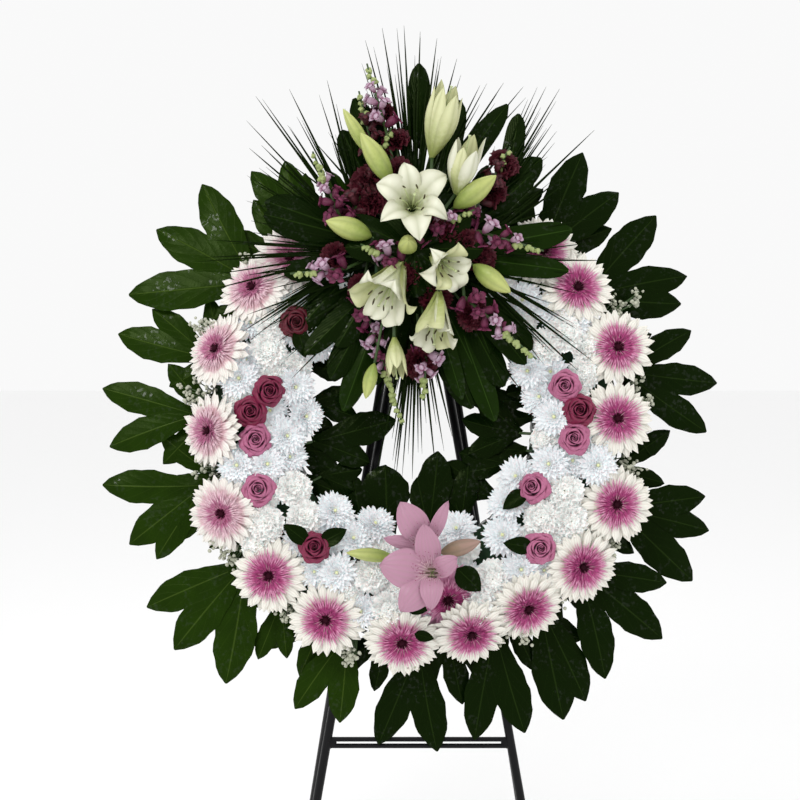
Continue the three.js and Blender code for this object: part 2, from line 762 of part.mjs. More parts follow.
function sprayNodes() {
  const { x, z, width, height, depth } = BLOCK;
  const bottom = FOAM_FRONT + GAP;
  const block = new THREE.BoxGeometry(width, depth, height);
  const middle = at(x, z, bottom + depth / 2);
  block.translate(middle.x, middle.y, middle.z);
  holes.length = 0;
  for (const [node, group] of Object.entries(LILIES)) {
    const [hx, hz, hFront] = group.hub;
    const root = at(hx, hz, hFront - 24);
    const hubDepth = bottom + depth + 10 - (hFront - 24);
    upright.add(meshOf(node, lilyStem(root, group, hubDepth), materials.lily));
  }
  for (const [node, group] of Object.entries(SPIKES)) {
    const bodies = [];
    const hub = hubOutside(group.hub);
    bodies.push(pinned(at(...group.hub), hub), knot(hub));
    for (const pair of group.spikes) bodies.push(...spike(pair, hub));
    upright.add(meshOf(node, fuse(bodies), materials.snapdragon));
  }
  for (const [node, group] of Object.entries(FOLIAGE)) {
    const hub = hubOutside(group.hub);
    const bodies = [pinned(at(...group.hub), hub), knot(hub)];
    for (const tip of group.needles) bodies.push(solid(rod(hub, at(...tip), NEEDLE_R, 3, 0)));
    for (const blade of group.blades) {
      const foot = at(...blade[0]).lerp(at(...blade[1]), 0.12);
      bodies.push(broadBlade(blade), solid(rod(hub, foot, 2.2, 3)));
    }
    upright.add(meshOf(node, fuse(bodies), materials.palm));
  }
  const body = solid(block).subtract(fuse(holes));
  upright.add(meshOf("spray_foam", body, materials.foam));
}

// A small swelling where the stems of a group meet.
function knot(hub) {
  const geometry = new THREE.OctahedronGeometry(8.5);
  geometry.translate(hub.x, hub.y, hub.z);
  return solid(geometry);
}

// The point where a stem that starts in the block comes clear of its nearest side.
function hubOutside([hx, hz, hFront]) {
  const out = 10;
  const halfWidth = BLOCK.width / 2;
  const halfHeight = BLOCK.height / 2;
  if (Math.abs(hx - BLOCK.x) > halfWidth - 10)
    return at(BLOCK.x + Math.sign(hx) * (halfWidth + out), hz, hFront);
  return at(hx, BLOCK.z + Math.sign(hz - BLOCK.z) * (halfHeight + out), hFront);
}

// Points of the leaning frame, in the standing frame of the easel
function leaned(x, y, z) {
  return new THREE.Vector3(x, y, z).applyAxisAngle(new THREE.Vector3(1, 0, 0), -LEAN);
}

const tube = (from, to, radius, sides = TUBE_SIDES) => solid(rod(from, to, radius, sides));

// A rod along x, centred on a point.
function acrossRod(centre, half, radius, sides = TUBE_SIDES) {
  const aside = new THREE.Vector3(half, 0, 0);
  return tube(centre.clone().sub(aside), centre.clone().add(aside), radius, sides);
}

function legNodes(standing, name, head, foot, material) {
  const along = new THREE.Vector3().subVectors(head, foot).normalize();
  const rise = (height) => foot.clone().addScaledVector(along, height);
  const leg = tube(rise(-20), head, TUBE_R).trimByPlane([0, 0, 1], CAP_FLOOR + GAP);
  const socket = tube(rise(-20), rise(CAP_LENGTH + 20), TUBE_R + 0.4);
  const cap = tube(rise(-20), rise(CAP_LENGTH), CAP_R)
    .trimByPlane([0, 0, 1], 0)
    .subtract(socket.trimByPlane([0, 0, 1], CAP_FLOOR));
  standing.add(meshOf(`${name.replace("leg", "foot")}`, cap, materials.rubber));
  return { leg, clearance: tube(rise(-20), head, TUBE_R + GAP + 0.1) };
}

function easelNodes(standing) {
  const hinge = leaned(0, HINGE_BACK, HINGE_UP);
  const floorHeight = LEG_BACK * Math.tan(LEAN); // where the leg's axis meets the floor
  const reach = hinge.z * Math.tan(REAR_LEAN);
  const around = acrossRod(hinge, 60, KNUCKLE_R + GAP);
  const bore = acrossRod(hinge, 60, KNUCKLE_BORE_R);
  const wire = [];
  const clear = [];
  for (const [side, sign] of [["left", -1], ["right", 1]]) {
    const head = leaned(sign * FRONT_HEAD_SPREAD, LEG_BACK, HINGE_UP);
    const foot = leaned(sign * FOOT_SPREAD, LEG_BACK, floorHeight);
    const front = legNodes(standing, `front_leg_${side}`, head, foot);
    const leg = front.leg.subtract(around);
    standing.add(meshOf(`front_leg_${side}`, leg, materials.steel));
    clear.push(front.clearance);

    const rearHead = hinge.clone().setX(sign * REAR_HEAD_SPREAD);
    const rearFoot = new THREE.Vector3(sign * REAR_FOOT_SPREAD, hinge.y + reach, 0);
    const rear = legNodes(standing, `rear_leg_${side}`, rearHead, rearFoot);
    const start = FRONT_KNUCKLE_HALF + 0.5 + REAR_KNUCKLE_LENGTH / 2;
    const at = hinge.clone().setX(sign * start);
    const knuckle = acrossRod(at, REAR_KNUCKLE_LENGTH / 2, KNUCKLE_R);
    const rearLeg = fuse([rear.leg, knuckle]).subtract(bore);
    standing.add(meshOf(`rear_leg_${side}`, rearLeg, materials.steel));
    wire.push({ head: rearHead, foot: rearFoot, clearance: rear.clearance });
  }
  const frontKnuckle = acrossRod(hinge, FRONT_KNUCKLE_HALF, KNUCKLE_R).subtract(bore);
  standing.add(meshOf("hinge_tube", frontKnuckle, materials.steel));
  const end = FRONT_KNUCKLE_HALF + 0.5 + REAR_KNUCKLE_LENGTH + 2;
  const heads = [-end, end].map((x) => acrossRod(hinge.clone().setX(x), 1.5, PIN_HEAD_R));
  const pin = fuse([acrossRod(hinge, end, PIN_R), ...heads]);
  standing.add(meshOf("hinge_pin", pin, materials.steel));

  const legX = (up) => FOOT_SPREAD - ((FOOT_SPREAD - FRONT_HEAD_SPREAD) * up) / HINGE_UP;
  const rods = [0, CROSSBAR_PITCH].map((pitch) => {
    const up = CROSSBAR_UP + pitch;
    return acrossRod(leaned(0, LEG_BACK, up), legX(up), CROSSBAR_R, 8);
  });
  const flares = [-1, 1].map((sign) => {
    const up = CROSSBAR_UP + CROSSBAR_PITCH / 2;
    const outer = leaned(sign * legX(up), LEG_BACK, up);
    const inner = leaned(sign * (legX(up) - FLARE.length), LEG_BACK, up);
    const flare = rod(outer, inner, FLARE.radius + 6, 8, FLARE.radius);
    return solid(flattened(flare, LEG_BACK));
  });
  const bars = fuse([...rods, ...flares]).subtract(fuse(clear));
  standing.add(meshOf("front_crossbar", bars, materials.steel));

  const share = REAR_CROSSBAR_DOWN / (hinge.z / Math.cos(REAR_LEAN));
  const low = wire.map(({ head, foot }) => head.clone().lerp(foot, share));
  const rearBar = tube(low[0], low[1], CROSSBAR_R, 8).subtract(
    fuse(wire.map(({ clearance }) => clearance)),
  );
  standing.add(meshOf("rear_crossbar", rearBar, materials.steel));

  const hookHeight = leaned(0, LEG_BACK, HOOK_UP);
  const crossWire = acrossRod(hookHeight, legX(HOOK_UP), HOOK_R, 8);
  const peg = tube(hookHeight, leaned(0, LEG_BACK - HOOK_REACH, HOOK_UP), HOOK_R, 8);
  const hook = fuse([crossWire, peg]).subtract(fuse(clear));
  standing.add(meshOf("wreath_hook", hook, materials.steel));
}

// Halves a form's depth about a plane of the leaning frame.
function flattened(geometry, depth) {
  const normal = leaned(0, 1, 0);
  const position = geometry.attributes.position;
  const point = new THREE.Vector3();
  for (let i = 0; i < position.count; i++) {
    point.fromBufferAttribute(position, i);
    point.addScaledVector(normal, (depth - point.dot(normal)) * 0.55);
    position.setXYZ(i, point.x, point.y, point.z);
  }
  return geometry;
}

flowerNodes();
leafNodes();
pinkLilyNode();
ringNodes();
sprayNodes();

const wreathOnEasel = new THREE.Group();
wreathOnEasel.add(upright);
easelNodes(wreathOnEasel);

// The middle of the whole stands over the origin.
const bounds = new THREE.Box3().setFromObject(wreathOnEasel, true);
const middle = bounds.getCenter(new THREE.Vector3());
wreathOnEasel.position.set(-middle.x, -middle.y, 0);

export default wreathOnEasel;
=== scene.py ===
import json
import math

import bpy
import numpy as np
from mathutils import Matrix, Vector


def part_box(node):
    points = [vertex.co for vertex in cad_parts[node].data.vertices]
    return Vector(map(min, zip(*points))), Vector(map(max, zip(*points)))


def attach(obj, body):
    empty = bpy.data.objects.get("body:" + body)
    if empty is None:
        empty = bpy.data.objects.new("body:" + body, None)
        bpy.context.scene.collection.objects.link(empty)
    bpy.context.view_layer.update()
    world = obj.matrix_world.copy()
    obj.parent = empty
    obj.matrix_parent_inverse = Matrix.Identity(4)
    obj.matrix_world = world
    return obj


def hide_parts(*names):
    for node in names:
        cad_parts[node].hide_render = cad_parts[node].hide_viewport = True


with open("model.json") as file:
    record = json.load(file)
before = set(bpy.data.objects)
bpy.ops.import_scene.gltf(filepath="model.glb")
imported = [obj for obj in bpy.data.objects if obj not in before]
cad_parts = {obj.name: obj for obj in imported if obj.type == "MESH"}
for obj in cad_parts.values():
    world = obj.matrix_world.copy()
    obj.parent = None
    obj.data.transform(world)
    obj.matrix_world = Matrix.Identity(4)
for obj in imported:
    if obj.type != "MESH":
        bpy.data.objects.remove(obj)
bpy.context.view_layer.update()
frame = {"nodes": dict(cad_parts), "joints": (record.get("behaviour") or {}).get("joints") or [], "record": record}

# Easel of steel tube, welded and dipped in gloss black paint. Its front legs lean back and
# the wreath with them: UP runs up that plane, X to the right and FRONT out of it. The rear
# frame swings on a pin at the top, and each leg ends in a rubber foot.
FRONT_BODY = "wreath_and_front_frame"
REAR_BODY = "rear_frame"
LEAN = math.radians(12)
X = np.array([1.0, 0.0, 0.0])
UP = np.array([0.0, math.sin(LEAN), math.cos(LEAN)])
FRONT = np.array([0.0, -math.cos(LEAN), math.sin(LEAN)])
TUBE_R = 0.007
KNUCKLE_R = 0.009
KNUCKLE_ENDS = (0.0167, 0.0313)
FRONT_HEAD_ASIDE, REAR_HEAD_ASIDE = 0.0085, 0.024
FRONT_HEAD_SHIFT = FRONT * 0.0032 - UP * 0.0098
FOOT_CLEAR = 0.0045
CLOSED_END = 1e-5


def unit(way):
    """The same direction with a length of one."""
    return way / np.linalg.norm(way)


def ring_around(centre, direction, radius, sides):
    """Points of a circle round a line, for the rows of a tube."""
    direction = unit(direction)
    aside = unit(np.cross(direction, FRONT if abs(direction @ FRONT) < 0.9 else X))
    ahead = np.cross(direction, aside)
    turn = np.linspace(0, 2 * math.pi, sides)
    return centre + radius * (np.outer(np.cos(turn), aside) + np.outer(np.sin(turn), ahead))


def tube(points, radii, sides=17):
    """A sheet rolled along a line of points, with a radius at each of them and both ends closed."""
    radii = np.broadcast_to(radii, len(points)).astype(float)
    radii = np.concatenate([[CLOSED_END], radii, [CLOSED_END]])
    points = np.array([points[0], *points, points[-1]], float)
    steps = np.gradient(points, axis=0)
    steps[0], steps[-1] = points[2] - points[0], points[-1] - points[-3]
    return np.stack([ring_around(p, d, r, sides) for p, d, r in zip(points, steps, radii)])


def piece(name, sheets, body, replaced=()):
    """Joins sheets into one smooth mesh. Each sheet is a grid of points and its material."""
    points, quads, coords, looks = [], [], [], []
    materials = list(dict.fromkeys(material for _, material in sheets))
    count = 0
    for grid, material in sheets:
        rows, cols = grid.shape[:2]
        index = np.arange(rows * cols).reshape(rows, cols) + count
        faces = [index[:-1, :-1], index[:-1, 1:], index[1:, 1:], index[1:, :-1]]
        faces = np.stack(faces, axis=-1).reshape(-1, 4)
        across, along = np.meshgrid(np.linspace(0, 1, cols), np.linspace(0, 1, rows))
        points.append(grid.reshape(-1, 3))
        quads.append(faces)
        coords.append(np.stack([across, along], axis=-1).reshape(-1, 2))
        looks.append(np.full(len(faces), materials.index(material)))
        count += rows * cols
    points, quads = np.concatenate(points), np.concatenate(quads)
    coords, looks = np.concatenate(coords), np.concatenate(looks)
    mesh = bpy.data.meshes.new(name)
    mesh.vertices.add(len(points))
    mesh.vertices.foreach_set("co", points.astype(np.float32).ravel())
    mesh.loops.add(quads.size)
    mesh.loops.foreach_set("vertex_index", quads.astype(np.int32).ravel())
    mesh.polygons.add(len(quads))
    mesh.polygons.foreach_set("loop_start", np.arange(0, quads.size, 4, dtype=np.int32))
    mesh.polygons.foreach_set("material_index", looks.astype(np.int32))
    mesh.uv_layers.new(name="UVMap").data.foreach_set("uv", coords[quads.ravel()].ravel())
    mesh.update(calc_edges=True)
    mesh.shade_smooth()
    for material in materials:
        mesh.materials.append(material)
    made = bpy.data.objects.new(name, mesh)
    bpy.context.scene.collection.objects.link(made)
    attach(made, body)
    if replaced:
        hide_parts(*replaced)


def surface(name, color, roughness, **sockets):
    """A material with its shader's own values set."""
    material = bpy.data.materials.new(name)
    material.use_nodes = True
    shader = material.node_tree.nodes["Principled BSDF"]
    for socket, value in {"Base_Color": color, "Roughness": roughness, **sockets}.items():
        shader.inputs[socket.replace("_", " ")].default_value = value
    return material


def feed(tree, socket, value):
    """Links a socket to another one, or sets it to a plain value."""
    if isinstance(value, bpy.types.NodeSocket):
        tree.links.new(value, socket)
    else:
        socket.default_value = value


def worked(tree, value, *steps):
    """A value after a row of math nodes. Each step names its operation and what it works with."""
    for operation, *second in steps:
        node = tree.nodes.new("ShaderNodeMath")
        node.operation = operation
        for socket, given in zip(node.inputs, (value, *second)):
            feed(tree, socket, given)
        value = node.outputs[0]
    return value


def mix_colors(tree, share, first, second):
    """A mix of two colours."""
    node = tree.nodes.new("ShaderNodeMix")
    node.data_type = "RGBA"
    colors = [socket for socket in node.inputs if socket.type == "RGBA"]
    for socket, value in zip((node.inputs[0], *colors), (share, first, second)):
        feed(tree, socket, value)
    return next(socket for socket in node.outputs if socket.type == "RGBA")


def noise(tree, scale, detail=3.0):
    """Fractal noise over the object's own coordinates."""
    coords = tree.nodes.new("ShaderNodeTexCoord")
    node = tree.nodes.new("ShaderNodeTexNoise")
    node.inputs["Scale"].default_value = scale
    node.inputs["Detail"].default_value = detail
    tree.links.new(coords.outputs["Object"], node.inputs["Vector"])
    return node.outputs["Fac"]


def new_group(name, inputs, outputs):
    """A shader group with the named sockets. Returns it, what it is given and where its results go."""
    group = bpy.data.node_groups.new(name, "ShaderNodeTree")
    kinds = {True: "NodeSocketColor", False: "NodeSocketFloat"}
    for label in outputs:
        group.interface.new_socket(label, in_out="OUTPUT", socket_type=kinds[label == "Color"])
    for label, value in inputs.items():
        kind = kinds[isinstance(value, tuple)]
        group.interface.new_socket(label, in_out="INPUT", socket_type=kind).default_value = value
    return group, group.nodes.new("NodeGroupInput").outputs, group.nodes.new("NodeGroupOutput").inputs


def give_out(group, results, **sockets):
    """Links a group's results to the outputs of the same names."""
    for label, socket in sockets.items():
        group.links.new(socket, results[label])
    return group


def textured(material, group, values, strength, distance):
    """Feeds a material's shader from a group with the given values, its height through a bump."""
    tree = material.node_tree
    shader = tree.nodes["Principled BSDF"]
    node = tree.nodes.new("ShaderNodeGroup")
    node.node_tree = group
    for label, value in values.items():
        node.inputs[label].default_value = value
    for label, socket in (("Color", "Base Color"), ("Roughness", "Roughness"), ("Glint", "Coat Weight")):
        if label in node.outputs:
            tree.links.new(node.outputs[label], shader.inputs[socket])
    relief = tree.nodes.new("ShaderNodeBump")
    relief.inputs["Strength"].default_value = strength
    relief.inputs["Distance"].default_value = distance
    tree.links.new(node.outputs["Height"], relief.inputs["Height"])
    tree.links.new(relief.outputs["Normal"], shader.inputs["Normal"])
    return material


def mottle_group():
    """Cloudy variation between two colours, with a fine height for bump."""
    inputs = {"Dark": (0, 0, 0, 1), "Light": (1, 1, 1, 1), "Roughness": 0.5}
    group, given, results = new_group("surface_mottle", inputs, ["Color", "Height", "Roughness"])
    cloud = noise(group, 60)
    color = mix_colors(group, cloud, given["Dark"], given["Light"])
    rough = worked(group, cloud, ("SUBTRACT", 0.5), ("MULTIPLY", 0.3), ("ADD", given["Roughness"]))
    return give_out(group, results, Color=color, Height=noise(group, 900, 2), Roughness=rough)


MOTTLE = mottle_group()


def mottled(name, dark, light, roughness, strength, **sockets):
    """A material with cloudy colour and roughness and a fine grain."""
    values = {"Dark": dark, "Light": light, "Roughness": roughness}
    return textured(surface(name, dark, roughness, **sockets), MOTTLE, values, strength, 0.0004)


def dress(name, material):
    """Gives a node that stays as the frame has it a material."""
    slots = frame["nodes"][name].data.materials
    slots.clear()
    slots.append(material)


def leg(foot, head):
    """A leg from just above the floor up to its head beside the hinge."""
    way = unit(head - foot)
    return tube([foot + way * FOOT_CLEAR / way[2], head], TUBE_R)


black_paint = mottled("gloss_black_paint", (0.003, 0.003, 0.0035, 1), (0.007, 0.007, 0.008, 1),
                      0.36, 0.12, Specular_IOR_Level=0.1, Coat_Weight=0.06)
foot_rubber = mottled("foot_rubber", (0.012, 0.012, 0.012, 1), (0.03, 0.03, 0.03, 1), 0.8, 0.4)
hinge = np.array(frame["joints"][0]["pos_m"])
feet = {mount["name"]: np.array(mount["pos_m"]) for mount in frame["record"]["mounts"]}
for side, sign in (("left", -1), ("right", 1)):
    front_leg = leg(feet[f"front_{side}_foot_base"], hinge + X * sign * FRONT_HEAD_ASIDE + FRONT_HEAD_SHIFT)
    piece(f"front_leg_{side}_tube", [(front_leg, black_paint)],
          FRONT_BODY, [f"front_leg_{side}"])
    rear_leg = leg(feet[f"rear_{side}_foot_base"], hinge + X * sign * REAR_HEAD_ASIDE)
    knuckle = tube([hinge + X * sign * end for end in KNUCKLE_ENDS], KNUCKLE_R, 29)
    piece(f"rear_leg_{side}_tube", [(rear_leg, black_paint), (knuckle, black_paint)],
          REAR_BODY, [f"rear_leg_{side}"])
    dress(f"front_foot_{side}", foot_rubber)
    dress(f"rear_foot_{side}", foot_rubber)
for name in ("hinge_tube", "hinge_pin", "front_crossbar", "rear_crossbar", "wreath_hook"):
    dress(name, black_paint)

# Ring of wet floral foam in a green plastic tray, and the block that holds the spray. Foam
# is moulded, soaked and pressed into the tray; stems are pushed into it. Places on the
# wreath are measured in mm from the middle of the tray's back.
MM = 0.001
TRAY_DEPTH = 7.7
tray_low, tray_high = (np.array(corner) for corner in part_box("ring_tray"))
RING = (tray_low + tray_high) / 2 - FRONT * TRAY_DEPTH * MM / 2
RING_STEPS = 97
FOAM_INNER, FOAM_OUTER = 195, 330
FOAM_SPAN = FOAM_OUTER - FOAM_INNER
FOAM_BEVEL = 19.845
FOAM_SECTION = [
    (0, 8), (FOAM_SPAN, 8), (FOAM_SPAN, 48),
    (FOAM_SPAN - FOAM_BEVEL, 68), (FOAM_BEVEL, 68), (0, 48), (0, 8),
]
TRAY_SECTION = [
    (-4, 0), (17, 0), (19, 1.5), (24, 1.5), (26, 0), (63, 0), (65, 1.5), (70, 1.5), (72, 0),
    (109, 0), (111, 1.5), (116, 1.5), (118, 0), (139, 0), (139, TRAY_DEPTH), (-4, TRAY_DEPTH), (-4, 0),
]


def place(x, z, front):
    """Points x to the right of the ring's centre and z above it, in front of the tray's back."""
    x, z, front = np.broadcast_arrays(x, z, front)
    return RING + (x[..., None] * X + z[..., None] * UP + front[..., None] * FRONT) * MM


def swept_ring(section):
    """A section swept round the ring's centre, its widths measured from the foam's inner wall."""
    turn = np.linspace(0, 2 * math.pi, RING_STEPS)
    radii = [(FOAM_INNER + beside, depth) for beside, depth in section]
    return np.array([place(radius * np.cos(turn), radius * np.sin(turn), depth) for radius, depth in radii])


wet_foam = mottled("wet_floral_foam", (0.008, 0.03, 0.01, 1), (0.02, 0.06, 0.02, 1), 0.9, 0.9)
tray_plastic = mottled("green_tray_plastic", (0.007, 0.028, 0.011, 1), (0.011, 0.04, 0.015, 1),
                       0.45, 0.1, Specular_IOR_Level=0.3)
piece("foam_ring_body", [(swept_ring(FOAM_SECTION), wet_foam)], FRONT_BODY, ["foam_ring"])
piece("ring_tray_body", [(swept_ring(TRAY_SECTION), tray_plastic)], FRONT_BODY, ["ring_tray"])
dress("spray_foam", wet_foam)

# Lobed leaves (fatsia), dark and glossy, in a skirt round the ring and into its hole.
# Each leaf is a fan of lobes on one stalk; the blade has a rib in each lobe.
BACK_LAYER, FRONT_LAYER = 15, 27
LOBE_HALF, INNER_LOBE_HALF = 0.165, 0.21
DROOP, DROOP_REACH = 10, 180
STALK_R = 0.0024
STALK_DEPTH = 22
# Left of this x the skirt's leaves take a lighter green: painted light on the lit side.
PAINTED_LIGHT_SIDE = -60
# Each leaf: its heart, the tips of its lobes, and how far forward it lies.
OUTER_LEAVES = {
    "leaves_right_top": [
        ((208, 284), [(333, 392), (274, 456)], FRONT_LAYER),
        ((280, 213), [(438, 197), (446, 261), (395, 355)], BACK_LAYER),
    ],
    "leaves_right": [((340, 90), [(470, -14), (493, 67), (448, 165)], FRONT_LAYER)],
    "leaves_right_lower": [
        ((327, -130), [(450, -250), (480, -165), (474, -115)], BACK_LAYER),
        ((266, -231), [(315, -403), (402, -339), (408, -248)], FRONT_LAYER),
    ],
    "leaves_bottom_right": [
        ((203, -288), [(237, -472), (280, -440)], BACK_LAYER),
        ((130, -327), [(91, -501), (171, -493)], FRONT_LAYER),
    ],
    "leaves_bottom": [
        ((8, -352), [(-54, -512), (26, -523)], BACK_LAYER),
        ((-107, -335), [(-197, -448), (-114, -475)], FRONT_LAYER),
    ],
    "leaves_left_lower": [
        ((-214, -280), [(-250, -375), (-206, -373)], BACK_LAYER),
        ((-272, -223), [(-432, -288), (-390, -355), (-290, -414)], FRONT_LAYER),
    ],
    "leaves_left": [
        ((-339, -94), [(-506, -104), (-462, -189), (-422, -210)], BACK_LAYER),
        ((-351, 19), [(-506, 66), (-496, -24)], FRONT_LAYER),
    ],
    "leaves_left_upper": [
        ((-333, 114), [(-427, 197), (-486, 147)], BACK_LAYER),
        ((-261, 236), [(-354, 398), (-418, 333), (-466, 216)], FRONT_LAYER),
        ((-173, 306), [(-219, 440), (-262, 429)], BACK_LAYER),
    ],
}
INNER_LEAVES = {
    "leaves_inner_left": [((-160, -24), [(-70, -53), (-29, 11)], FRONT_LAYER)],
    "leaves_inner_bottom": [
        ((-86, -152), [(-50, -59), (-98, -75)], BACK_LAYER),
        ((24, -168), [(43, -40), (4, -82)], FRONT_LAYER),
    ],
    "leaves_inner_right": [
        ((132, -112), [(72, -104), (50, -61)], BACK_LAYER),
        ((170, -10), [(86, -42), (77, 6), (106, 52)], FRONT_LAYER),
    ],
}
draw = np.random.default_rng(7)


def across_and_along(tree):
    """How far across and along its sheet a point lies, from 0 to 1."""
    coords = tree.nodes.new("ShaderNodeTexCoord")
    split = tree.nodes.new("ShaderNodeSeparateXYZ")
    tree.links.new(coords.outputs["UV"], split.inputs[0])
    return split.outputs[0], split.outputs[1]


def leaf_vein_group():
    """Colour and height of a ribbed blade with fine side veins, and where drops make it glint."""
    inputs = {"Blade": (0, 0.1, 0, 1), "Vein": (0.1, 0.2, 0.05, 1), "Vein Count": 9.0, "Slant": 0.5}
    group, given, results = new_group("leaf_veins", inputs, ["Color", "Height", "Roughness", "Glint"])
    across, along = across_and_along(group)
    off_rib = worked(group, across, ("SUBTRACT", 0.5), ("ABSOLUTE",))
    # The rib is a thin line; the side veins slant from it towards the tip and are fainter.
    rib = worked(group, off_rib, ("MULTIPLY", -34.0), ("ADD", 1.0), ("MAXIMUM", 0.0))
    slanted = worked(group, off_rib, ("MULTIPLY", given["Slant"]))
    wave = worked(group, along, ("SUBTRACT", slanted), ("MULTIPLY", given["Vein Count"]),
                  ("MULTIPLY", math.pi), ("SINE",), ("ABSOLUTE",))
    vein = worked(group, wave, ("MULTIPLY", -11.0), ("ADD", 1.0), ("MAXIMUM", 0.0),
                  ("MULTIPLY", 0.3), ("MAXIMUM", rib))
    cloud = noise(group, 34)
    shaded = worked(group, cloud, ("MULTIPLY", 0.6))
    color = mix_colors(group, shaded, given["Blade"], (0.0015, 0.005, 0.0006, 1))
    color = mix_colors(group, worked(group, vein, ("MULTIPLY", 0.6)), color, given["Vein"])
    dimples = worked(group, noise(group, 130), ("MULTIPLY", 1.2))
    height = worked(group, wave, ("MULTIPLY", 0.35), ("SUBTRACT", vein), ("ADD", dimples))
    rough = worked(group, cloud, ("MULTIPLY", 0.28), ("ADD", 0.12))
    # Drops left from the florist's spraying glint, in patches.
    patch = worked(group, noise(group, 23, 2), ("SUBTRACT", 0.5), ("MULTIPLY", 7.0),
                   ("MAXIMUM", 0.0), ("MINIMUM", 0.26))
    glint = worked(group, noise(group, 170, 4), ("SUBTRACT", 0.53), ("MULTIPLY", 9.0),
                   ("MAXIMUM", 0.0), ("MINIMUM", 1.0), ("MULTIPLY", patch))
    return give_out(group, results, Color=color, Height=height, Roughness=rough, Glint=glint)


LEAF_VEINS = leaf_vein_group()


def leaf_surface(name, blade, vein, count, slant, strength=0.3):
    """A glossy blade of the given green, with its ribs."""
    material = surface(name, blade, 0.3, Coat_Roughness=0.05,
                       Specular_IOR_Level=0.06, Specular_Tint=(0.75, 1, 0.4, 1))
    values = {"Blade": blade, "Vein": vein, "Vein Count": count, "Slant": slant}
    return textured(material, LEAF_VEINS, values, strength, 0.0012)


# One leaf green in two copies: the darker is the leaf's own colour, the lighter is painted light for the lit left
# side.
leaf_dark = leaf_surface("fatsia_leaf_dark", (0.0026, 0.0085, 0.0008, 1), (0.018, 0.036, 0.006, 1), 6, 0.7)
leaf_painted_lit = leaf_surface("fatsia_leaf_painted_lit", (0.014, 0.036, 0.002, 1), (0.06, 0.1, 0.015, 1), 6, 0.7)
leaf_stalk = mottled("leaf_stalk_green", (0.02, 0.05, 0.01, 1), (0.05, 0.1, 0.02, 1), 0.45, 0.2)


def shares(rows, cols, start=0):
    """The shares s of the way along a sheet, up to 1, and t of the way across it, from -1 to 1."""
    return np.linspace(start, 1, rows)[:, None], np.linspace(-1, 1, cols)[None, :]


def lobe(heart, tip, layer, width):
    """One lobe of a leaf: widest past its middle, its edge waved, its tip blunt with a point."""
    heart, tip = np.array(heart, float), np.array(tip, float)
    length = np.linalg.norm(tip - heart)
    out = (tip - heart) / length
    left = np.array([-out[1], out[0]])
    s, t = shares(17, 9, -0.03)
    rise = np.clip(s / 0.6, 0, 1)
    swell = 0.4 + 0.6 * rise**2 * (3 - 2 * rise)
    taper = np.clip(1 - np.clip((s - 0.6) / 0.405, 0, 1) ** 2.1, 0.002, 1) ** 0.8
    teeth = 1 + 0.045 * np.sin(s * draw.uniform(24, 34) + draw.uniform(0, 6)) * (s > 0.3) * np.abs(t) ** 4
    half = width * length * swell * taper * teeth * draw.uniform(0.94, 1.08)
    aside = t * half + draw.uniform(-0.07, 0.07) * length * s**2
    wave = 1.3 * np.sin(s * draw.uniform(6, 10) + draw.uniform(0, 6)) * t
    lift = 2.4 - 3.4 * np.abs(t) ** 1.2 * (0.4 + 0.6 * s) + wave + draw.uniform(-1, 1)
    x = heart[0] + out[0] * s * length + left[0] * aside
    z = heart[1] + out[1] * s * length + left[1] * aside
    beyond = np.maximum(0, np.hypot(x, z) - FOAM_OUTER) / DROOP_REACH
    return place(x, z, layer + lift - DROOP * beyond**2)


def lobed_leaf(heart, tips, layer, green, root, width=LOBE_HALF):
    """A whole leaf: its lobes, and the stalk from its heart to its root in the foam."""
    sheets = [(lobe(heart, tip, layer, width), green) for tip in tips]
    in_foam = unit(np.array(heart, float)) * root
    stalk = tube([place(*in_foam, layer), place(*heart, layer + 1)], STALK_R, 7)
    return sheets + [(stalk, leaf_stalk)]


def skirt_green(x):
    """The skirt's leaves are lighter on the left: painted light, on the side where the light falls."""
    return leaf_painted_lit if x < PAINTED_LIGHT_SIDE else leaf_dark


OUTER_ROOT, INNER_ROOT = FOAM_OUTER - STALK_DEPTH, FOAM_INNER + STALK_DEPTH
for node, leaves in OUTER_LEAVES.items():
    sheets = []
    for heart, tips, layer in leaves:
        sheets += lobed_leaf(heart, tips, layer, skirt_green(heart[0]), OUTER_ROOT)
    piece(f"{node}_blades", sheets, FRONT_BODY, [node])
for node, leaves in INNER_LEAVES.items():
    sheets = []
    for heart, tips, layer in leaves:
        sheets += lobed_leaf(heart, tips, layer, leaf_dark, INNER_ROOT, INNER_LOBE_HALF)
    piece(f"{node}_blades", sheets, FRONT_BODY, [node])

# More of the same leaves lie behind, between the others, and close the skirt. Some turn
# into the hole, close to its rim.
UNDER_LAYER, HOLE_LAYER = 9, 20
UNDER_COUNT = 21
UNDER_START = 0.09
UNDER_HEART = 332
UNDER_LOBES = (-0.2, 0.0, 0.2)
TOP_AND_FOOT = 215
LONG_REACH, SHORT_REACH = (430, 470), (385, 420)
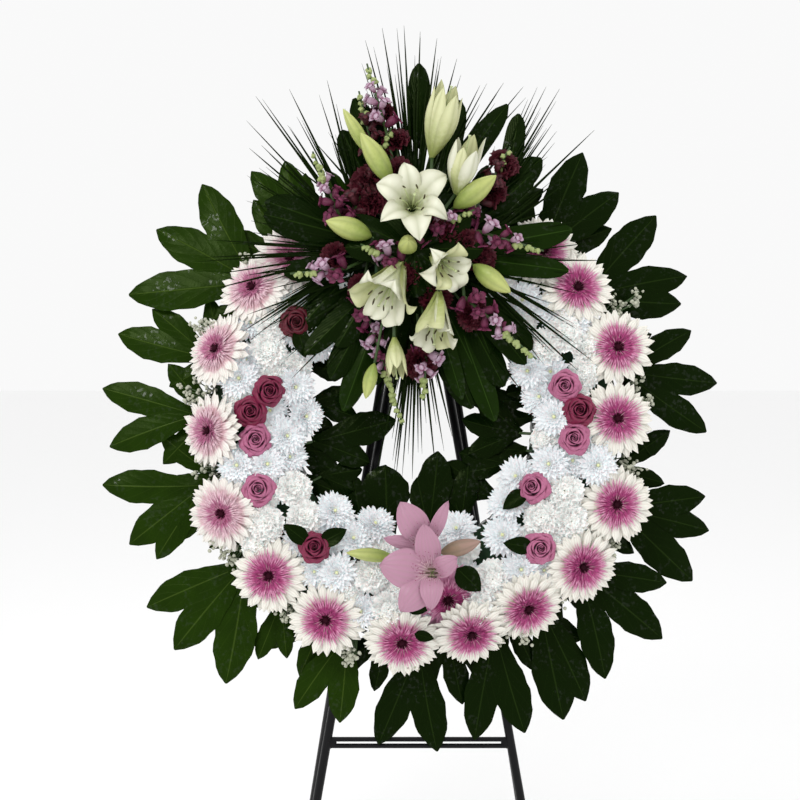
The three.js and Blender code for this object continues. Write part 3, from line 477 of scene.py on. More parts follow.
# Each leaf: its heart, the tips of its lobes, and their width for their length.
HOLE_LEAVES = [
    ((-44, -170), [(-43, -62)], 0.36),
    ((75, -160), [(92, -62), (60, -84)], 0.22),
    ((150, -60), [(74, -40), (84, -76)], 0.24),
    ((176, 40), [(104, 22), (92, 52)], 0.24),
    ((160, 90), [(110, 66)], 0.3),
    ((-168, 40), [(-90, 20), (-104, 62)], 0.24),
    ((-150, -80), [(-84, -66), (-96, -102)], 0.26),
    ((-172, 100), [(-110, 92)], 0.3),
    ((-190, 8), [(-130, 4)], 0.28),
    ((-186, -36), [(-118, -44), (-124, -74)], 0.3),
    ((-176, -84), [(-120, -108)], 0.36),
    ((184, 62), [(150, 52)], 0.4),
    ((190, 16), [(136, 10)], 0.34),
    ((182, -38), [(126, -34), (134, -62)], 0.3),
]
sheets = []
for i in range(UNDER_COUNT):
    turn = 2 * math.pi * i / UNDER_COUNT + UNDER_START
    heart = (UNDER_HEART * math.cos(turn), UNDER_HEART * math.sin(turn))
    reach = draw.uniform(*(LONG_REACH if abs(heart[0]) < TOP_AND_FOOT else SHORT_REACH))
    tips = [(reach * math.cos(turn + d), reach * math.sin(turn + d)) for d in UNDER_LOBES]
    sheets += lobed_leaf(heart, tips, UNDER_LAYER, skirt_green(heart[0]), OUTER_ROOT)
for heart, tips, width in HOLE_LEAVES:
    sheets += lobed_leaf(heart, tips, HOLE_LAYER, leaf_dark, INNER_ROOT, width)
piece("leaves_behind", sheets, FRONT_BODY)

# Small oval leaves lie like shingles on the foam's outer and inner walls, pinned through
# their stalks, so that no foam shows from the side.
# Each round of leaves: its radius, where it starts, how far it hangs down, and their number.
COLLAR = [(333, 62, 30, 78), (336, 46, 24, 84), (194, 54, 26, 46), (192, 40, 20, 46)]
WALL_GAP = 2


def collar_leaf(turn, radius, front, drop, outward):
    """An oval leaf that hangs from the wall's rim towards the back, standing off it a little."""
    s, t = shares(8, 5)
    outline = np.sin((0.06 + 0.94 * s) ** 0.9 * math.pi) ** 0.7 + 0.01
    half = draw.uniform(12, 16)
    angle = turn + (half * outline * t + draw.uniform(-6, 6) * s) / radius
    lift = 5 if outward > 0 else 1.5
    off = radius + outward * (WALL_GAP + lift * s - 1.6 * np.abs(t) * outline)
    return place(off * np.cos(angle), off * np.sin(angle), front - drop * s)


sheets = []
for radius, front, drop, count in COLLAR:
    outward = 1 if radius > FOAM_OUTER else -1
    for i in range(count):
        turn = (i + draw.uniform(-0.3, 0.3)) * 2 * math.pi / count
        # Outer leaves on the left mostly take the lighter copy: painted light on the lit side.
        light = outward > 0 and math.cos(turn) < -0.2 and draw.uniform() < 0.6
        leaf = collar_leaf(turn, radius, front + draw.uniform(-3, 3), drop, outward)
        sheets.append((leaf, leaf_painted_lit if light else leaf_dark))
piece("leaves_collar", sheets, FRONT_BODY)

# Gerberas: a ring of strap petals, cream with a blush at the foot, round a frill of
# short magenta ones and a dark button. They are wired and stand round the outer edge.
# Each bloom: x, z, and how far its face tips outwards, in degrees.
GERBERAS = {
    "gerberas_right_top": [(261, 219, 14), (206, 278, 14)],
    "gerberas_right_upper": [(325, 123, 10), (322, 8, 10)],
    "gerberas_right_lower": [(320, -128, 12), (266, -226, 24)],
    "gerberas_lower_right": [(179, -291, 32), (90, -331, 36)],
    "gerberas_bottom": [(53, -277, 22), (-19, -344, 26)],
    "gerberas_lower_left": [(-139, -309, 15), (-229, -240, 10)],
    "gerbera_left_lower": [(-304, -142, 24)],
    "gerbera_left": [(-326, -11, 40)],
    "gerberas_left_upper": [(-315, 120, 40), (-258, 219, 30), (-198, 267, 14)],
}
DOME_RADIUS, DOME_HALF, DOME_BASE, DOME_RISE = 270, 124, 46, 54
PINK_GERBERA = (53, -277)
LEFT_SIDE = -230
STEM_R, STEM_REACH = 0.0026, 0.06


def seat(x, z, tip, proud=0):
    """Where a bloom's face sits on the dome over the ring, and the way it looks: tipped
    outwards by so many degrees, or with the dome's own slope when the tip is None."""
    radius = math.hypot(x, z)
    across = min(0.95, max(-0.95, (radius - DOME_RADIUS) / DOME_HALF))
    front = DOME_BASE + DOME_RISE * math.sqrt(1 - across * across) + proud
    tilt = math.asin(across) * 0.7 if tip is None else math.radians(tip)
    facing = (X * x + UP * z) / radius * math.sin(tilt) + FRONT * math.cos(tilt)
    return place(x, z, front), facing


def facing_frame(facing, spin=0.0):
    """Three axes whose last is the facing, turned about it by spin."""
    facing = unit(facing)
    aside = unit(np.cross(UP if abs(facing @ UP) < 0.9 else X, facing))
    above = np.cross(facing, aside)
    c, s = math.cos(spin), math.sin(spin)
    return np.stack([aside * c + above * s, above * c - aside * s, facing])


def sheet(x, y, z):
    """A grid of points from its three coordinates."""
    return np.stack(np.broadcast_arrays(x, y, z), axis=-1)


def petal(length, half, rows, cols, tip=0.8, foot=0.35, cup=0.0, arch=0.0, roll=0.0):
    """A strap petal along X: foot and tip shape its outline; cup and arch bend it."""
    s, t = shares(rows, cols)
    outline = np.minimum(1, foot + (1 - foot) * s / 0.45)
    outline = outline * np.sqrt(np.clip(1 - (np.clip(s - tip, 0, 1) / (1.001 - tip)) ** 2, 0.003, 1))
    rise = arch * length * s**2 + cup * half * t**2 + roll * half * t * s
    return sheet(s * length, half * outline * t, rise)


def around(grid, turn, tilt=0.0, out=0.0, height=0.0):
    """Stands a petal at a distance from the bloom's axis, raised by tilt and turned about the axis."""
    c, s = math.cos(tilt), math.sin(tilt)
    x = grid[..., 0] * c - grid[..., 2] * s + out
    z = grid[..., 0] * s + grid[..., 2] * c + height
    c, s = math.cos(turn), math.sin(turn)
    y = grid[..., 1]
    return sheet(x * c - y * s, x * s + y * c, z)


def tier(count, look, length, half, tilt, out, height, jitter=0.07, **form):
    """A ring of like petals, each a little different."""
    sheets = []
    start = draw.uniform(0, 6.28)
    for i in range(count):
        size = draw.uniform(1 - jitter, 1 + jitter)
        turn = start + (i + draw.uniform(-0.2, 0.2)) * 2 * math.pi / count
        grid = petal(length * size, half * draw.uniform(0.9, 1.1), roll=draw.uniform(-0.25, 0.25), **form)
        lean = tilt + draw.uniform(-jitter, jitter)
        sheets.append((around(grid, turn, lean, out, height), look))
    return sheets


def dome(radius, height, base, rows=6, cols=19):
    """A low button."""
    s = np.linspace(0, 1, rows)[:, None] * math.pi / 2
    a = np.linspace(0, 2 * math.pi, cols)[None, :]
    return sheet(radius * np.cos(s) * np.cos(a), radius * np.cos(s) * np.sin(a), base + height * np.sin(s))


def set_at(sheets, centre, axes, scale=1.0):
    """Moves a bloom's sheets from its own axes to its place."""
    return [(grid @ axes * scale + centre, look) for grid, look in sheets]


def petal_streak_group():
    """Colour along a petal from foot to tip, with fine streaks along it and a soft mottle."""
    inputs = {"Foot": (1, 0, 0, 1), "Tip": (1, 1, 1, 1), "Start": 0.0, "End": 1.0,
              "Streaks": 5.0, "Streak Shade": 0.15}
    group, given, results = new_group("petal_streaks", inputs, ["Color", "Height"])
    across, along = across_and_along(group)
    ramp = group.nodes.new("ShaderNodeMapRange")
    ramp.interpolation_type = "SMOOTHSTEP"
    wander = worked(group, noise(group, 150, 4), ("SUBTRACT", 0.5), ("MULTIPLY", 0.5), ("ADD", along))
    feed(group, ramp.inputs["Value"], wander)
    feed(group, ramp.inputs["From Min"], given["Start"])
    feed(group, ramp.inputs["From Max"], given["End"])
    color = mix_colors(group, ramp.outputs[0], given["Foot"], given["Tip"])
    wave = worked(group, across, ("MULTIPLY", given["Streaks"]), ("MULTIPLY", math.pi),
                  ("SINE",), ("ABSOLUTE",))
    shade = worked(group, 1.0, ("SUBTRACT", wave), ("MULTIPLY", given["Streak Shade"]))
    dark = mix_colors(group, 0.5, given["Foot"], (0.12, 0.1, 0.08, 1))
    return give_out(group, results, Color=mix_colors(group, shade, color, dark), Height=wave)


PETAL_STREAKS = petal_streak_group()


def petal_surface(name, foot, tip, start, end, streaks, shade, roughness=0.55, strength=0.25,
                  **sockets):
    """A petal's material, from its colour at the foot to that at the tip."""
    soft = {"Subsurface_Weight": 0.12, "Subsurface_Radius": (0.004, 0.003, 0.003)}
    material = surface(name, tip, roughness, Specular_IOR_Level=0.35, **{**soft, **sockets})
    values = {"Foot": foot, "Tip": tip, "Start": start, "End": end,
              "Streaks": streaks, "Streak Shade": shade}
    return textured(material, PETAL_STREAKS, values, strength, 0.0006)


cream = petal_surface("gerbera_cream", (0.66, 0.6, 0.45, 1), (0.83, 0.81, 0.74, 1), 0.3, 0.6, 3, 0.3)
blush = petal_surface("gerbera_blush", (0.76, 0.5, 0.54, 1), (0.83, 0.81, 0.75, 1), 0.45, 0.75, 3, 0.3)
pink_strap = petal_surface("gerbera_pink", (0.6, 0.2, 0.38, 1), (0.76, 0.4, 0.56, 1), 0.3, 1.0, 3, 0.25)
magenta_frill = petal_surface("gerbera_magenta_frill", (0.44, 0.05, 0.2, 1), (0.78, 0.38, 0.56, 1),
                              0.5, 0.95, 2, 0.5)
deep_frill = petal_surface("gerbera_deep_frill", (0.12, 0.005, 0.04, 1), (0.5, 0.055, 0.24, 1),
                           0.3, 0.95, 2, 0.4)
pale_frill = petal_surface("gerbera_pale_frill", (0.56, 0.2, 0.34, 1), (0.84, 0.62, 0.67, 1),
                           0.3, 0.85, 2, 0.5)
rose_frill = petal_surface("gerbera_rose_frill", (0.3, 0.045, 0.13, 1), (0.6, 0.23, 0.38, 1),
                           0.35, 1.0, 2, 0.4)
maroon_button = mottled("gerbera_button", (0.012, 0.001, 0.004, 1), (0.04, 0.003, 0.012, 1),
                        0.8, 1.0, Specular_IOR_Level=0.1)
pollen = mottled("gerbera_pollen", (0.4, 0.2, 0.24, 1), (0.6, 0.4, 0.42, 1), 0.7, 0.6)
stem_green = mottled("stem_green", (0.018, 0.045, 0.008, 1), (0.045, 0.09, 0.018, 1), 0.5, 0.2)


def gerbera(straps, frill, inner_frill):
    """Three rings of strap petals, a frill of short ones that rises to a dark button, and its cup."""
    sheets = []
    for count, length, half, tilt, height, arch in (
        (19, 0.051, 0.0066, -0.08, -0.001, -0.04),
        (18, 0.049, 0.0064, -0.01, -0.001, -0.04),
        (17, 0.045, 0.006, 0.05, 0.0, -0.03),
    ):
        sheets += tier(count, straps, length, half, tilt, 0.011, height,
                       rows=6, cols=5, cup=-0.3, tip=0.78, arch=arch)
    for count, look, length, half, tilt in (
        (56, frill, 0.0375, 0.0013, 0.13),
        (54, frill, 0.034, 0.0013, 0.19),
        (50, frill, 0.0305, 0.0013, 0.26),
        (46, frill, 0.027, 0.0013, 0.34),
        (46, inner_frill, 0.0225, 0.0012, 0.46),
        (44, inner_frill, 0.0185, 0.0012, 0.5),
        (38, inner_frill, 0.0145, 0.0011, 0.56),
        (32, inner_frill, 0.0105, 0.001, 0.66),
        (22, maroon_button, 0.0068, 0.0009, 0.8),
    ):
        sheets += tier(count, look, length, half, tilt, 0.0045, 0.002, 0.13,
                       rows=4, cols=3, tip=0.6, foot=0.6, arch=-0.05)
    sheets += tier(16, pollen, 0.016, 0.0004, 0.62, 0.006, 0.003, 0.3, rows=3, cols=2)
    sheets.append((dome(0.0052, 0.0042, 0.0025), maroon_button))
    cup = tube([(0, 0, -0.012), (0, 0, -0.004), (0, 0, 0.001)], [0.004, 0.011, 0.016], 15)
    return sheets + [(cup, stem_green)]


def stem_into_foam(centre, facing, reach=STEM_REACH):
    """A bloom's stem, from its back into the foam."""
    return tube([centre - facing * reach, centre - facing * 0.004], STEM_R, 9), stem_green


BRIGHT_LOOKS = (cream, magenta_frill, deep_frill)
PALE_LOOKS = (blush, pale_frill, rose_frill)
PINK_LOOKS = (pink_strap, magenta_frill, deep_frill)
for node, places in GERBERAS.items():
    usual = PALE_LOOKS if places[0][0] < LEFT_SIDE else BRIGHT_LOOKS
    sheets = []
    for x, z, tip in places:
        looks = PINK_LOOKS if (x, z) == PINK_GERBERA else usual
        centre, facing = seat(x, z, tip)
        sheets += set_at(gerbera(*looks), centre, facing_frame(facing, draw.uniform(0, 6)))
        sheets.append(stem_into_foam(centre, facing))
    piece(f"{node}_blooms", sheets, FRONT_BODY, [node])

# White chrysanthemums and carnations fill the ring inside the gerberas. The first have
# tiers of narrow petals, the second crumpled ones with a cut edge.
# Each group: its chrysanthemums, then its carnations.
WHITE_FLOWERS = {
    "white_flowers_left_upper": (
        [(-278, 72), (-189, 59), (-157, 130)],
        [(-230, 118), (-226, 162)],
    ),
    "white_flowers_left": (
        [(-173, 13), (-202, -19), (-232, -64), (-280, -66)],
        [(-190, -101), (-234, -157), (-173, -147)],
    ),
    "white_flowers_bottom_left": (
        [(-126, -138), (-62, -158), (-96, -181), (-122, -235)],
        [(-67, -238), (-40, -291)],
    ),
    "white_flowers_bottom_right": (
        [(67, -166), (139, -176), (147, -125), (162, -83), (168, -230)],
        [(123, -245), (99, -287)],
    ),
    "white_flowers_right": (
        [(222, 11), (213, -64), (290, -66), (181, 85)],
        [(237, -107), (200, -149), (246, -154), (238, 144), (205, 122)],
    ),
}
# White petals scatter light under their skin, and they also give off a faint emission: a painted glow that keeps
# them bright in their folds.
WHITE_SUBSURFACE_AND_PAINTED_GLOW = {"Subsurface_Weight": 0.5, "Emission_Color": (0.93, 0.96, 1.0, 1), "Emission_Strength": 0.05}
mum_white = petal_surface("chrysanthemum_white", (0.86, 0.88, 0.76, 1), (0.91, 0.93, 0.95, 1),
                          0.0, 0.3, 3, 0.1, **WHITE_SUBSURFACE_AND_PAINTED_GLOW)
carnation_white = petal_surface("carnation_white", (0.88, 0.89, 0.82, 1), (0.94, 0.94, 0.91, 1),
                                0.0, 0.3, 4, 0.05, **WHITE_SUBSURFACE_AND_PAINTED_GLOW)
yellow_eye = mottled("chrysanthemum_eye", (0.74, 0.78, 0.36, 1), (0.84, 0.86, 0.58, 1), 0.8, 0.8)


def chrysanthemum():
    """Tiers of narrow petals, steeper towards a small yellow-green eye."""
    sheets = []
    for count, length, half, tilt in (
        (21, 0.033, 0.0042, -0.12),
        (21, 0.031, 0.0041, 0.08),
        (20, 0.028, 0.0038, 0.28),
        (17, 0.023, 0.0034, 0.5),
        (14, 0.018, 0.003, 0.74),
        (10, 0.013, 0.0024, 1.0),
    ):
        sheets += tier(count, mum_white, length, half, tilt, 0.002, -0.003, 0.09,
                       rows=5, cols=3, tip=0.62, cup=0.5, arch=0.12)
    return sheets + [(dome(0.0028, 0.003, 0.003, 4, 9), yellow_eye)]


def ruffled_petal(length, half):
    """A fan of a petal, waved more towards its cut edge."""
    s, t = shares(5, 11)
    phase = draw.uniform(0, 6.28)
    fringe = 1 + 0.08 * np.sin(t * 19 + phase) * s**2
    x = s * length * fringe * (1 - 0.18 * t**2)
    wave = 0.17 * length * np.sin(t * draw.uniform(4.5, 7) + phase) * s**1.5
    return sheet(x, half * (0.16 + 0.84 * s) * t, wave + 0.1 * length * s**2)


def carnation(look=carnation_white):
    """Crumpled petals in tiers, upright in the middle."""
    sheets = []
    for count, length, half, tilt, height in (
        (8, 0.03, 0.015, 0.05, -0.007),
        (8, 0.028, 0.014, 0.3, -0.007),
        (8, 0.026, 0.013, 0.55, -0.007),
        (7, 0.023, 0.012, 0.82, -0.007),
        (6, 0.02, 0.01, 1.1, -0.006),
        (6, 0.015, 0.009, 0.5, 0.003),
        (6, 0.012, 0.0085, 0.3, 0.007),
        (5, 0.0095, 0.007, 0.7, 0.0085),
        (3, 0.007, 0.006, 1.1, 0.01),
    ):
        start = draw.uniform(0, 6.28)
        for i in range(count):
            turn = start + (i + draw.uniform(-0.25, 0.25)) * 2 * math.pi / count
            grid = ruffled_petal(length * draw.uniform(0.9, 1.08), half)
            lean = tilt + draw.uniform(-0.12, 0.12)
            sheets.append((around(grid, turn, lean, 0.001, height), look))
    return sheets


def white_bloom(form, x, z, proud=0, scale=1.0):
    """A white flower in its place, with its stem."""
    centre, facing = seat(x, z, None, proud)
    axes = facing_frame(facing, draw.uniform(0, 6))
    return set_at(form(), centre, axes, scale) + [stem_into_foam(centre, facing)]


for node, (mums, carnations) in WHITE_FLOWERS.items():
    sheets = []
    for form, places in ((chrysanthemum, mums), (carnation, carnations)):
        for x, z in places:
            sheets += white_bloom(form, x, z)
    piece(f"{node}_blooms", sheets, FRONT_BODY, [node])

# Smaller white flowers are pushed in between, a little deeper, until no foam shows.
# They keep clear of the larger blooms, of each other and of the spray's foot.
SPRAY_HALF, SPRAY_FOOT = 105, 215
GERBERA_CLEAR, LARGE_CLEAR, SMALL_CLEAR = 44, 30, 34
ROUNDS, STEP, STRAY = (207, 232, 258, 284, 308), 22, 5
SUNK = -9
taken = [(x, z, GERBERA_CLEAR) for places in GERBERAS.values() for x, z, _ in places]
taken += [(x, z, LARGE_CLEAR) for kinds in WHITE_FLOWERS.values() for places in kinds for x, z in places]
between = {"left": [], "right": []}
for radius in ROUNDS:
    for turn in np.arange(0, 2 * math.pi, STEP / radius):
        x = radius * math.cos(turn) + draw.uniform(-STRAY, STRAY)
        z = radius * math.sin(turn) + draw.uniform(-STRAY, STRAY)
        if abs(x) < SPRAY_HALF and z > SPRAY_FOOT:
            continue
        if min(math.hypot(x - a, z - b) - clear for a, b, clear in taken) < 0:
            continue
        taken.append((x, z, SMALL_CLEAR))
        between["left" if x < 0 else "right"].append((x, z))
for side, places in between.items():
    sheets = []
    for i, (x, z) in enumerate(places):
        form = carnation if i % 2 else chrysanthemum
        sheets += white_bloom(form, x, z, SUNK, draw.uniform(0.82, 0.98))
    piece(f"white_flowers_between_{side}", sheets, FRONT_BODY)

# Roses, mauve and crimson, stand a little proud of the white flowers. Petals wrap a
# tight heart in turns, and the outer ones roll back at the rim.
ROSE_PROUD = 16
ROSE_STEM = 0.076
WRAP_TURN = 0.8
mauve = petal_surface("rose_mauve", (0.13, 0.014, 0.05, 1), (0.48, 0.15, 0.27, 1),
                      0.3, 0.95, 7, 0.12, 0.5)
crimson = petal_surface("rose_crimson", (0.03, 0.001, 0.006, 1), (0.23, 0.018, 0.065, 1),
                        0.35, 1.0, 7, 0.12, 0.45)
dark_red = petal_surface("rose_dark_red", (0.014, 0.0005, 0.002, 1), (0.11, 0.006, 0.018, 1),
                         0.35, 1.0, 7, 0.1, 0.45)
ROSES = {
    "roses_right": [(238, 59, mauve), (261, 20, crimson), (252, -24, mauve)],
    "rose_right_lower": [(186, -101, mauve)],
    "rose_bottom_right": [(197, -197, mauve)],
    "rose_left_top": [(-187, 160, dark_red)],
    "roses_left": [(-229, 51, crimson), (-258, 18, crimson), (-250, -26, mauve)],
    "rose_left_lower": [(-245, -104, mauve)],
    "rose_bottom_left": [(-157, -195, crimson)],
}
LEAF_TURNS = {
    "rose_left_top": [-1.3],
    "rose_right_lower": [-2.5],
    "rose_bottom_right": [3.0],
    "rose_bottom_left": [2.5, 0.5],
}


def rose_petal(radius, rim, span, turn, roll):
    """A petal that wraps the heart: up from its foot, then flared and rolled at a pointed rim."""
    s, t = shares(11, 13)
    up = np.clip(s / 0.55, 0, 1)
    over = np.clip((s - 0.55) / 0.45, 0, 1)
    lip = (1 - 0.8 * np.abs(t) ** 1.6) * (1 + 0.25 * np.exp(-((t / 0.25) ** 2)))
    r = radius * (0.4 + 0.6 * up**0.7) + roll * lip * over**1.2 + 0.1 * radius * t
    z = -0.018 + (rim + 0.018) * up + roll * lip * (0.5 * np.sin(over * math.pi) - 0.45 * over**2)
    z = z - (0.001 + roll * 0.6) * np.abs(t) ** 2.2 * up
    a = turn + t * span
    return sheet(r * np.cos(a), r * np.sin(a), z)


def rose(look):
    """Petals round a tight heart, a few in each turn, that open outward."""
    sheets = []
    turn = draw.uniform(0, 6.28)
    for count, radius, rim, span, roll in (
        (2, 0.0016, 0.0085, 1.7, 0.0008),
        (2, 0.0036, 0.0088, 1.6, 0.0014),
        (3, 0.0062, 0.0084, 1.25, 0.0024),
        (3, 0.0098, 0.007, 1.3, 0.004),
        (3, 0.0134, 0.004, 1.3, 0.0062),
        (4, 0.0168, -0.0015, 1.1, 0.0078),
        (4, 0.0185, -0.0065, 1.05, 0.008),
    ):
        turn += WRAP_TURN
        for i in range(count):
            at = turn + (i + draw.uniform(-0.12, 0.12)) * 2 * math.pi / count
            shape = [radius * draw.uniform(0.93, 1.07), rim + draw.uniform(-0.001, 0.001), span]
            sheets.append((rose_petal(*shape, at, roll * draw.uniform(0.85, 1.1)), look))
    return sheets


def small_leaf(length, half, turn, tilt=0.0, out=0.0, height=0.0):
    """A pointed oval leaf, folded along its rib and turned about the bloom's axis."""
    s, t = shares(9, 5)
    outline = np.sin(s**0.8 * math.pi) ** 0.8 + 0.01
    lift = 0.3 * half * np.abs(t) * outline - 0.2 * length * s**2
    return around(sheet(s * length, half * outline * t, lift), turn, tilt, out, height), leaf_dark


for node, places in ROSES.items():
    sheets = []
    for x, z, look in places:
        centre, facing = seat(x, z, None, ROSE_PROUD)
        axes = facing_frame(facing, draw.uniform(0, 6))
        sheets += set_at(rose(look), centre, axes)
        leaves = [small_leaf(0.046, 0.014, turn, 0.26, 0.012, -0.003) for turn in LEAF_TURNS.get(node, ())]
        sheets += set_at(leaves, centre, facing_frame(facing))
        sheets.append(stem_into_foam(centre, facing, ROSE_STEM))
    piece(f"{node}_blooms", sheets, FRONT_BODY, [node])

# White lilies and their buds stand out of the spray's foam block. Six waxy petals curve
# back from a throat with olive-brown anthers; the closed buds are yellow-green.
# Each group: the hub in the foam; the blooms' place, way, size, spread, length; the buds.
LILIES = {
    "lilies_top": ((22, 300), [
        ((42, 470, 172), (0.24, 0.86, 0.45), 1.0, 0.6, 1.8),
        ((76, 406, 176), (0.18, 0.86, 0.48), 0.92, 0.72, 1.6),
    ], [((61, 336, 150), (128, 384, 168), 17)]),
    "lilies_middle": ((-8, 292), [
        ((-3, 343, 204), (0.02, 0.16, 1), 1.1, 1.0, 1.0),
    ], [((-36, 372, 160), (-84, 450, 176), 17), ((-70, 420, 150), (-112, 492, 160), 11),
        ((-12, 270, 152), (-9, 276, 200), 15)]),
    "lilies_right": ((34, 254), [
        ((54, 234, 190), (0.5, -0.5, 0.7), 0.98, 0.76, 1.12),
        ((32, 144, 174), (-0.1, -0.93, 0.34), 1.05, 0.68, 1.34),
    ], [((92, 246, 150), (150, 200, 164), 16)]),
    "lilies_left": ((-32, 250), [
        ((-46, 196, 182), (-0.4, -0.8, 0.45), 1.15, 0.84, 1.3),
        ((-30, 98, 150), (0.05, -1, 0.14), 0.55, 0.6, 1.75),
    ], [((-66, 290, 150), (-138, 312, 168), 18), ((-62, 92, 142), (-76, 36, 138), 11)]),
}
LILY_R, LILY_L = 0.056, 0.062
TINTED, LONG_THROAT, TRUMPET, HALF_OPEN, CREAM = 1.05, 1.25, 1.3, 1.5, 1.7
HUB_FRONT, HUB_DEPTH, HUB_R = 150.3, 0.04, 0.0034
lily_white = petal_surface("lily_white", (0.38, 0.44, 0.13, 1), (0.72, 0.72, 0.58, 1),
                           -0.1, 0.6, 2, 0.35, 0.42)
lily_cream = petal_surface("lily_cream", (0.34, 0.4, 0.1, 1), (0.64, 0.65, 0.38, 1),
                           -0.1, 0.8, 2, 0.4, 0.42)
bud_green = petal_surface("lily_bud", (0.24, 0.32, 0.06, 1), (0.47, 0.51, 0.17, 1),
                          0.0, 0.9, 6, 0.35, 0.4)
anther_brown = mottled("anther", (0.035, 0.028, 0.008, 1), (0.08, 0.06, 0.02, 1), 0.8, 0.8)
filament = mottled("filament", (0.4, 0.48, 0.2, 1), (0.55, 0.6, 0.35, 1), 0.5, 0.1)


def lily_petal(size, spread, long, half, curl):
    """One petal: out of the throat, then back at the tip, its edge softly waved."""
    s, t = shares(14, 9)
    flare = 0.25 * s + 0.05 * np.sin(s * math.pi) + 0.8 * s**1.8
    if long > LONG_THROAT:
        flare = 0.12 * np.sin(s * math.pi) + 0.75 * s + 0.25 * s**2
    r = 0.0012 + LILY_R * size * spread * flare
    rise = 1 - np.sin(s * math.pi * 0.54)
    back = curl * LILY_R * size * np.clip(s - 0.6, 0, 1) ** 2 / 0.13
    outline = np.sin((0.08 + 0.92 * s) ** 1.25 * math.pi) ** 0.75 + 0.015
    half = half * size
    sway = draw.uniform(-0.006, 0.006) * s**2
    z = -LILY_L * size * long * rise - back + 0.3 * half * t**2 * outline
    z = z - 0.0016 * np.exp(-((t / 0.12) ** 2))
    ripple = 0.0026 * np.sin(s * draw.uniform(9, 13) + draw.uniform(0, 6)) * np.abs(t) ** 2.5 * t
    return sheet(r, half * outline * t + sway, z + ripple)


def upright_petal(length, half, height, lean, girth):
    """A petal of a half-open bloom: it stands up, hollow towards the axis, with a pointed tip."""
    s, t = shares(14, 9)
    outline = np.sin((0.05 + 0.95 * s) ** 1.3 * math.pi) ** 0.8 + 0.012
    round_out = girth * np.sin(np.clip(s / 0.7, 0, 1) * math.pi / 2)
    r = 0.003 + round_out + lean * s**3 - 0.45 * half * outline * t**2
    z = -length + height * s - 0.001 * np.exp(-((t / 0.12) ** 2))
    return sheet(r, half * outline * t, z)


def stamen(turn, out, size, foot):
    """A filament with the anther that lies across its tip."""
    tip = np.array([out * math.cos(turn + 0.5), out * math.sin(turn + 0.5), -0.006 * size])
    aside = np.array([-math.sin(turn) * 0.4, math.cos(turn) * 0.4, 0.9]) * 0.0055
    anther = [tip - aside, tip - aside * 0.5, tip + aside * 0.5, tip + aside]
    return [
        (tube([foot, foot * 0.4 + tip * 0.45, tip], 0.0009, 6), filament),
        (tube(anther, [0.0006, 0.0014, 0.0014, 0.0006], 7), anther_brown),
    ]


def lily(size, spread, long, look):
    """Six petals about a style and six stamens. The longest blooms are half open and hide theirs."""
    sheets = []
    start = draw.uniform(0, 6.28)
    depth = LILY_L * size * long
    foot = np.array([0, 0, -depth * 0.9])
    for i in range(6):
        tint = lily_cream if i % 3 == 0 and long > TINTED else look
        turn = start + i * math.pi / 3 + draw.uniform(-0.14, 0.14)
        if long > HALF_OPEN:
            height = depth * draw.uniform(0.9, 1.12)
            half = (0.018 if i % 2 else 0.0145) * size
            grid = upright_petal(depth, half, height, draw.uniform(-0.01, 0.004) * size, 0.0255 * size)
            sheets.append((around(grid, turn), tint))
        else:
            half = 0.0215 if i % 2 else 0.016
            curl = draw.uniform(0.0, 0.42) * (0.25 if long > TRUMPET else 1)
            grid = lily_petal(size, spread * draw.uniform(0.86, 1.12), long, half, curl)
            sheets.append((around(grid, turn, height=0.0012 * (i % 2)), tint))
            sheets += stamen(turn, 0.017 * size * spread + 0.002 * (i % 3), size, foot)
    style = [(0, 0, foot[2]), (0.002, 0, -0.01), (0.003, 0.001, 0.004), (0.003, 0.001, 0.007)]
    return sheets + [(tube(style, [0.0014, 0.0013, 0.0014, 0.003], 7), filament)]


def closed_bud(foot, tip, radius, look=bud_green):
    """A closed bud with three soft ridges."""
    foot, tip = place(*foot), place(*tip)
    s = np.linspace(0, 1, 14)
    swell = np.sin(s**0.95 * math.pi) ** 0.75 * (1 - 0.1 * s) + 0.04
    ridges = 1 + 0.07 * np.cos(np.linspace(0, 2 * math.pi, 19) * 3)
    rows = []
    for share, r in zip(s, swell * radius * MM):
        middle = foot + (tip - foot) * share
        rows.append(middle + (ring_around(middle, tip - foot, r, 19) - middle) * ridges[:, None])
    return np.array(rows), look


def direction(x, z, front):
    """A unit vector from its parts along the leaning frame."""
    return unit(X * x + UP * z + FRONT * front)


def long_stem(start, end, radius):
    """A stem from the foam, or from a hub in it, to a bloom."""
    middle = (start + end) / 2
    return tube([start, start * 0.4 + middle * 0.6, middle * 0.4 + end * 0.6, end], radius, 9), stem_green


for node, (hub, heads, buds) in LILIES.items():
    hub_point = place(*hub, HUB_FRONT)
    sheets = [(tube([hub_point - FRONT * HUB_DEPTH, hub_point], HUB_R, 9), stem_green)]
    for centre, facing, size, spread, long in heads:
        way = direction(*facing)
        foot = place(*centre) - way * LILY_L * size
        mouth = foot + way * LILY_L * size * long
        look = lily_cream if long > CREAM else lily_white
        sheets += set_at(lily(size, spread, long, look), mouth, facing_frame(way))
        sheets.append(long_stem(hub_point, foot + way * 0.004, 0.0028))
    for bud in buds:
        sheets += [closed_bud(*bud), long_stem(hub_point, place(*bud[0]), 0.0022)]
    piece(f"{node}_blooms", sheets, FRONT_BODY, [node])

# One large pink lily lies over the ring's foot. Its petals open sideways from a speckled
# throat, with a green bud to its left and a mauve one to its right.
PINK_ROOT, PINK_HUB = (2, -232, 42), (2, -232, 82)
PINK_THROAT = (27, -235, 146)
PINK_BACK = (20, -196, 140)
